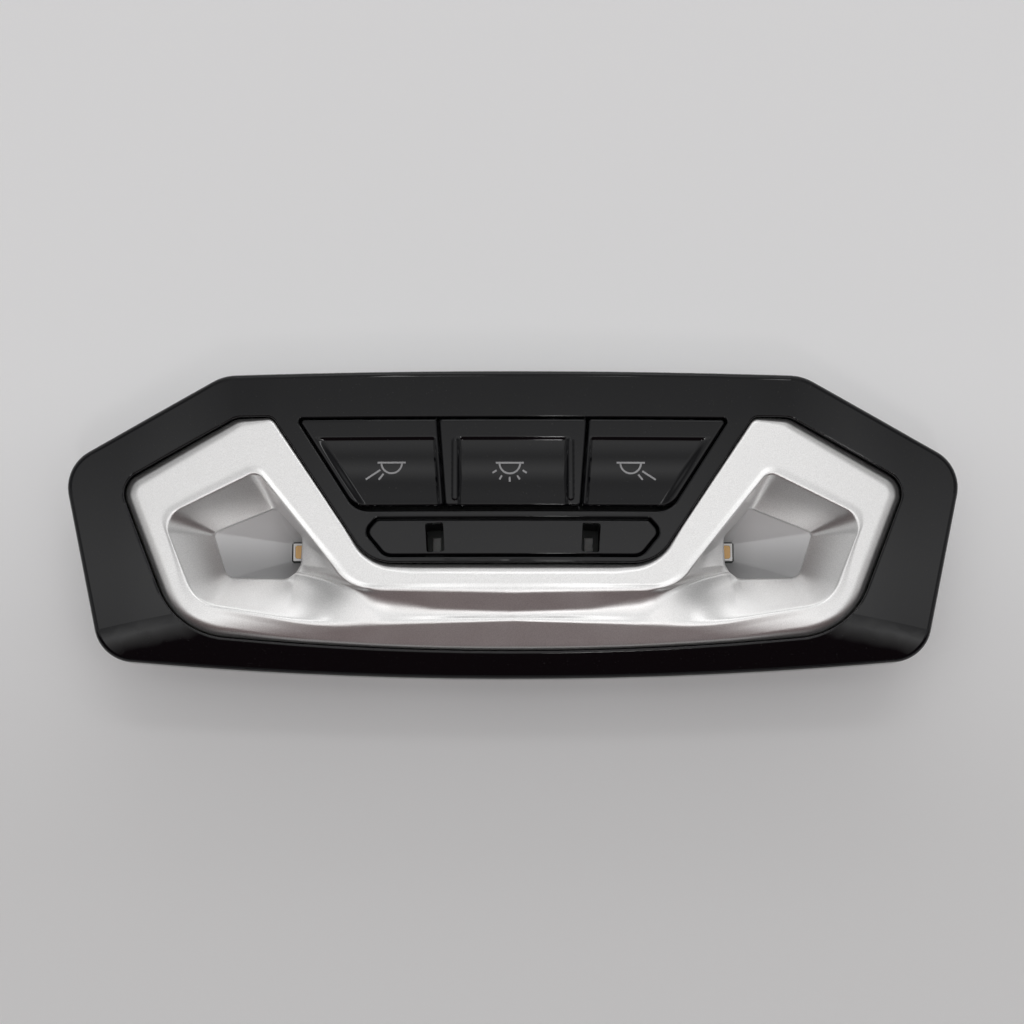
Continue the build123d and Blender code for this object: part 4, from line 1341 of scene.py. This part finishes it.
@dataclass(frozen=True)
class SoftBox:
    """Rectangular area light; places and sizes in millimetres, power in watts."""

    name: str
    place: Triple
    size: Point
    power: float
    aim: Triple = (0.0, 0.0, 20.0)

    def build(self) -> None:
        """Hang the box at its place and turn it to its aim."""
        data = bpy.data.lights.new(self.name, "AREA")
        data.shape = "RECTANGLE"
        data.size, data.size_y = self.size[0] * MM, self.size[1] * MM
        data.energy = self.power
        box = bpy.data.objects.new(self.name, data)
        box.location = Vector(self.place) * MM
        box.rotation_euler = (Vector(self.aim) - Vector(self.place)).to_track_quat("-Z", "Y").to_euler()
        bpy.context.scene.collection.objects.link(box)


@dataclass
class Studio:
    """Floor, soft light and camera."""

    floor_size: float = 16000.0
    floor_z: float = -0.05
    floor_lines: int = 9
    front_to_back: tuple = (
        (-3.0, 0.27), (-2.6, 0.22), (-1.9, (0.062, 0.030, 0.030)), (-0.60, (0.062, 0.030, 0.030)),
        (-0.35, (0.70, 0.68, 0.67)), (-0.18, 1.25), (-0.05, 0.9), (0.02, 0.56), (0.11, 1.2), (0.20, 0.56),
        (0.32, 0.66), (0.48, 0.48), (0.75, 0.42), (0.95, 0.48), (1.55, 0.62), (1.9, 1.2), (2.4, 1.4),
        (3.0, 1.4),
    )
    aside: tuple = (
        (0.0, 1.1), (0.24, 1.1), (0.29, 1.0), (0.36, 1.45), (0.42, 1.10), (0.52, 1.10), (0.66, 0.75),
        (0.85, 0.55), (1.3, 0.55), (3.0, 0.6),
    )
    reach: float = 3.0
    lowest: float = 0.05
    rim: Point = (-0.02, 0.40)
    rim_level: float = 0.72
    horizon: Point = (0.05, 0.12)
    backdrop: Colour = (0.62, 0.62, 0.625)
    boxes: tuple[SoftBox, ...] = (
        SoftBox("back_box", (100.0, 700.0, 1350.0), (700.0, 140.0), 1.2),
        SoftBox("spark_box", (55.0, -480.0, 1000.0), (40.0, 120.0), 0.4),
    )
    eye: Triple = (-0.175, -52.48, 428.0)
    tilt: float = 0.1353
    focal: float = 2040.5
    frame_pixels: float = 1024.0
    sensor: float = 36.0
    clip: Point = (0.01, 20.0)

    def build_floor(self) -> None:
        """Lay the floor as a grid."""
        line = np.linspace(-0.5, 0.5, self.floor_lines) * self.floor_size
        x, y = np.meshgrid(line, line)
        vertices = np.stack([x, y, np.full_like(x, self.floor_z)], axis=2).reshape(-1, 3)
        mesh = bpy.data.meshes.new("floor")
        mesh.from_pydata(vertices * MM, [], grid_quads(self.floor_lines, self.floor_lines).tolist())
        floor = bpy.data.objects.new("floor", mesh)
        bpy.context.scene.collection.objects.link(floor)
        Coat.FLOOR.on(floor)

    def build_sky(self) -> None:
        """Surround the lamp with soft light.

        The light is laid out on a flat ceiling: v runs from the lower to the upper edge of the face, u to
        both sides. Light and dim strips follow each other along v, and all fades to the sides. Near the
        horizon it turns into a pale backdrop.
        """
        world = bpy.data.worlds.new("studio")
        bpy.context.scene.world = world
        world.use_nodes = True
        shader = Shader(world.node_tree)
        direction = shader.node("ShaderNodeTexCoord", out="Generated")
        x, y, z = (shader.axis(direction, name) for name in "XYZ")
        height = shader.node("ShaderNodeMath", {"operation": "MAXIMUM"}, {0: z, 1: self.lowest})
        u = shader.unsigned(x) / height
        v = y / height
        strip = shader.ramp(v, self.front_to_back, -self.reach, self.reach)
        rise = self.rim_level + (1 - self.rim_level) * shader.between(z, *self.rim)
        level = shader.ramp(u, self.aside, 0.0, self.reach) * rise
        sky = shader.node("ShaderNodeBackground", {}, {"Color": strip, "Strength": level})
        back = shader.node("ShaderNodeBackground", {}, {"Color": self.backdrop})
        both = shader.node("ShaderNodeMixShader", {}, {0: shader.between(z, *self.horizon), 1: back, 2: sky})
        shader.node("ShaderNodeOutputWorld", {}, {"Surface": both})

    def build_camera(self) -> None:
        """Set the camera above the face, a little towards its lower edge."""
        data = bpy.data.cameras.new("camera")
        data.sensor_width = self.sensor
        data.lens = self.focal * self.sensor / self.frame_pixels
        data.clip_start, data.clip_end = self.clip
        camera = bpy.data.objects.new("camera", data)
        camera.location = np.array(self.eye) * MM
        camera.rotation_euler = (self.tilt, 0.0, 0.0)
        bpy.context.scene.collection.objects.link(camera)
        bpy.context.scene.camera = camera

    def build(self) -> None:
        """Build everything around the lamp."""
        self.build_floor()
        self.build_sky()
        for box in self.boxes:
            box.build()
        self.build_camera()
        bpy.context.scene.view_settings.view_transform = "Standard"


PICTOGRAMS: dict[Place, tuple] = {
    Place.LEFT: (
        ((-26.94, 12.07), (-21.33, 12.07)), (-24.13, 12.0, 2.05),
        (((-26.39, 10.63), (-29.28, 8.72)), ((-25.73, 9.86), (-26.69, 8.66))),
    ),
    Place.CENTRE: (
        ((-3.4, 11.98), (2.19, 11.98)), (-0.61, 11.9, 2.05),
        (((-3.24, 10.49), (-4.03, 9.96)), ((-2.2, 9.44), (-2.66, 8.64)), ((-0.64, 9.16), (-0.64, 8.17)),
         ((0.86, 9.44), (1.38, 8.64)), ((1.95, 10.49), (2.75, 9.96))),
    ),
    Place.RIGHT: (
        ((20.64, 12.04), (26.29, 12.04)), (23.45, 11.96, 2.05),
        (((25.76, 10.37), (28.43, 8.64)), ((24.96, 9.68), (25.81, 8.64))),
    ),
}


def build_keys(front: Front) -> None:
    """Build the three keys, their switch domes and their pictograms.

    Args:
        front: the shared front surface.
    """
    keys = [PushKey(front, place) for place in Place]
    for key in keys:
        key.build()
        SwitchDome(key.place).build()
    for key in keys:
        KeyPrint(key, *PICTOGRAMS[key.place]).build()


def main() -> None:
    """Build the lamp's surfaces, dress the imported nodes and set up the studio."""
    logging.basicConfig(level=logging.INFO)
    front = Front()
    SilverTrim(front).build()
    build_keys(front)
    Insides().dress()
    Studio().build()


if __name__ == "__main__":
    main()
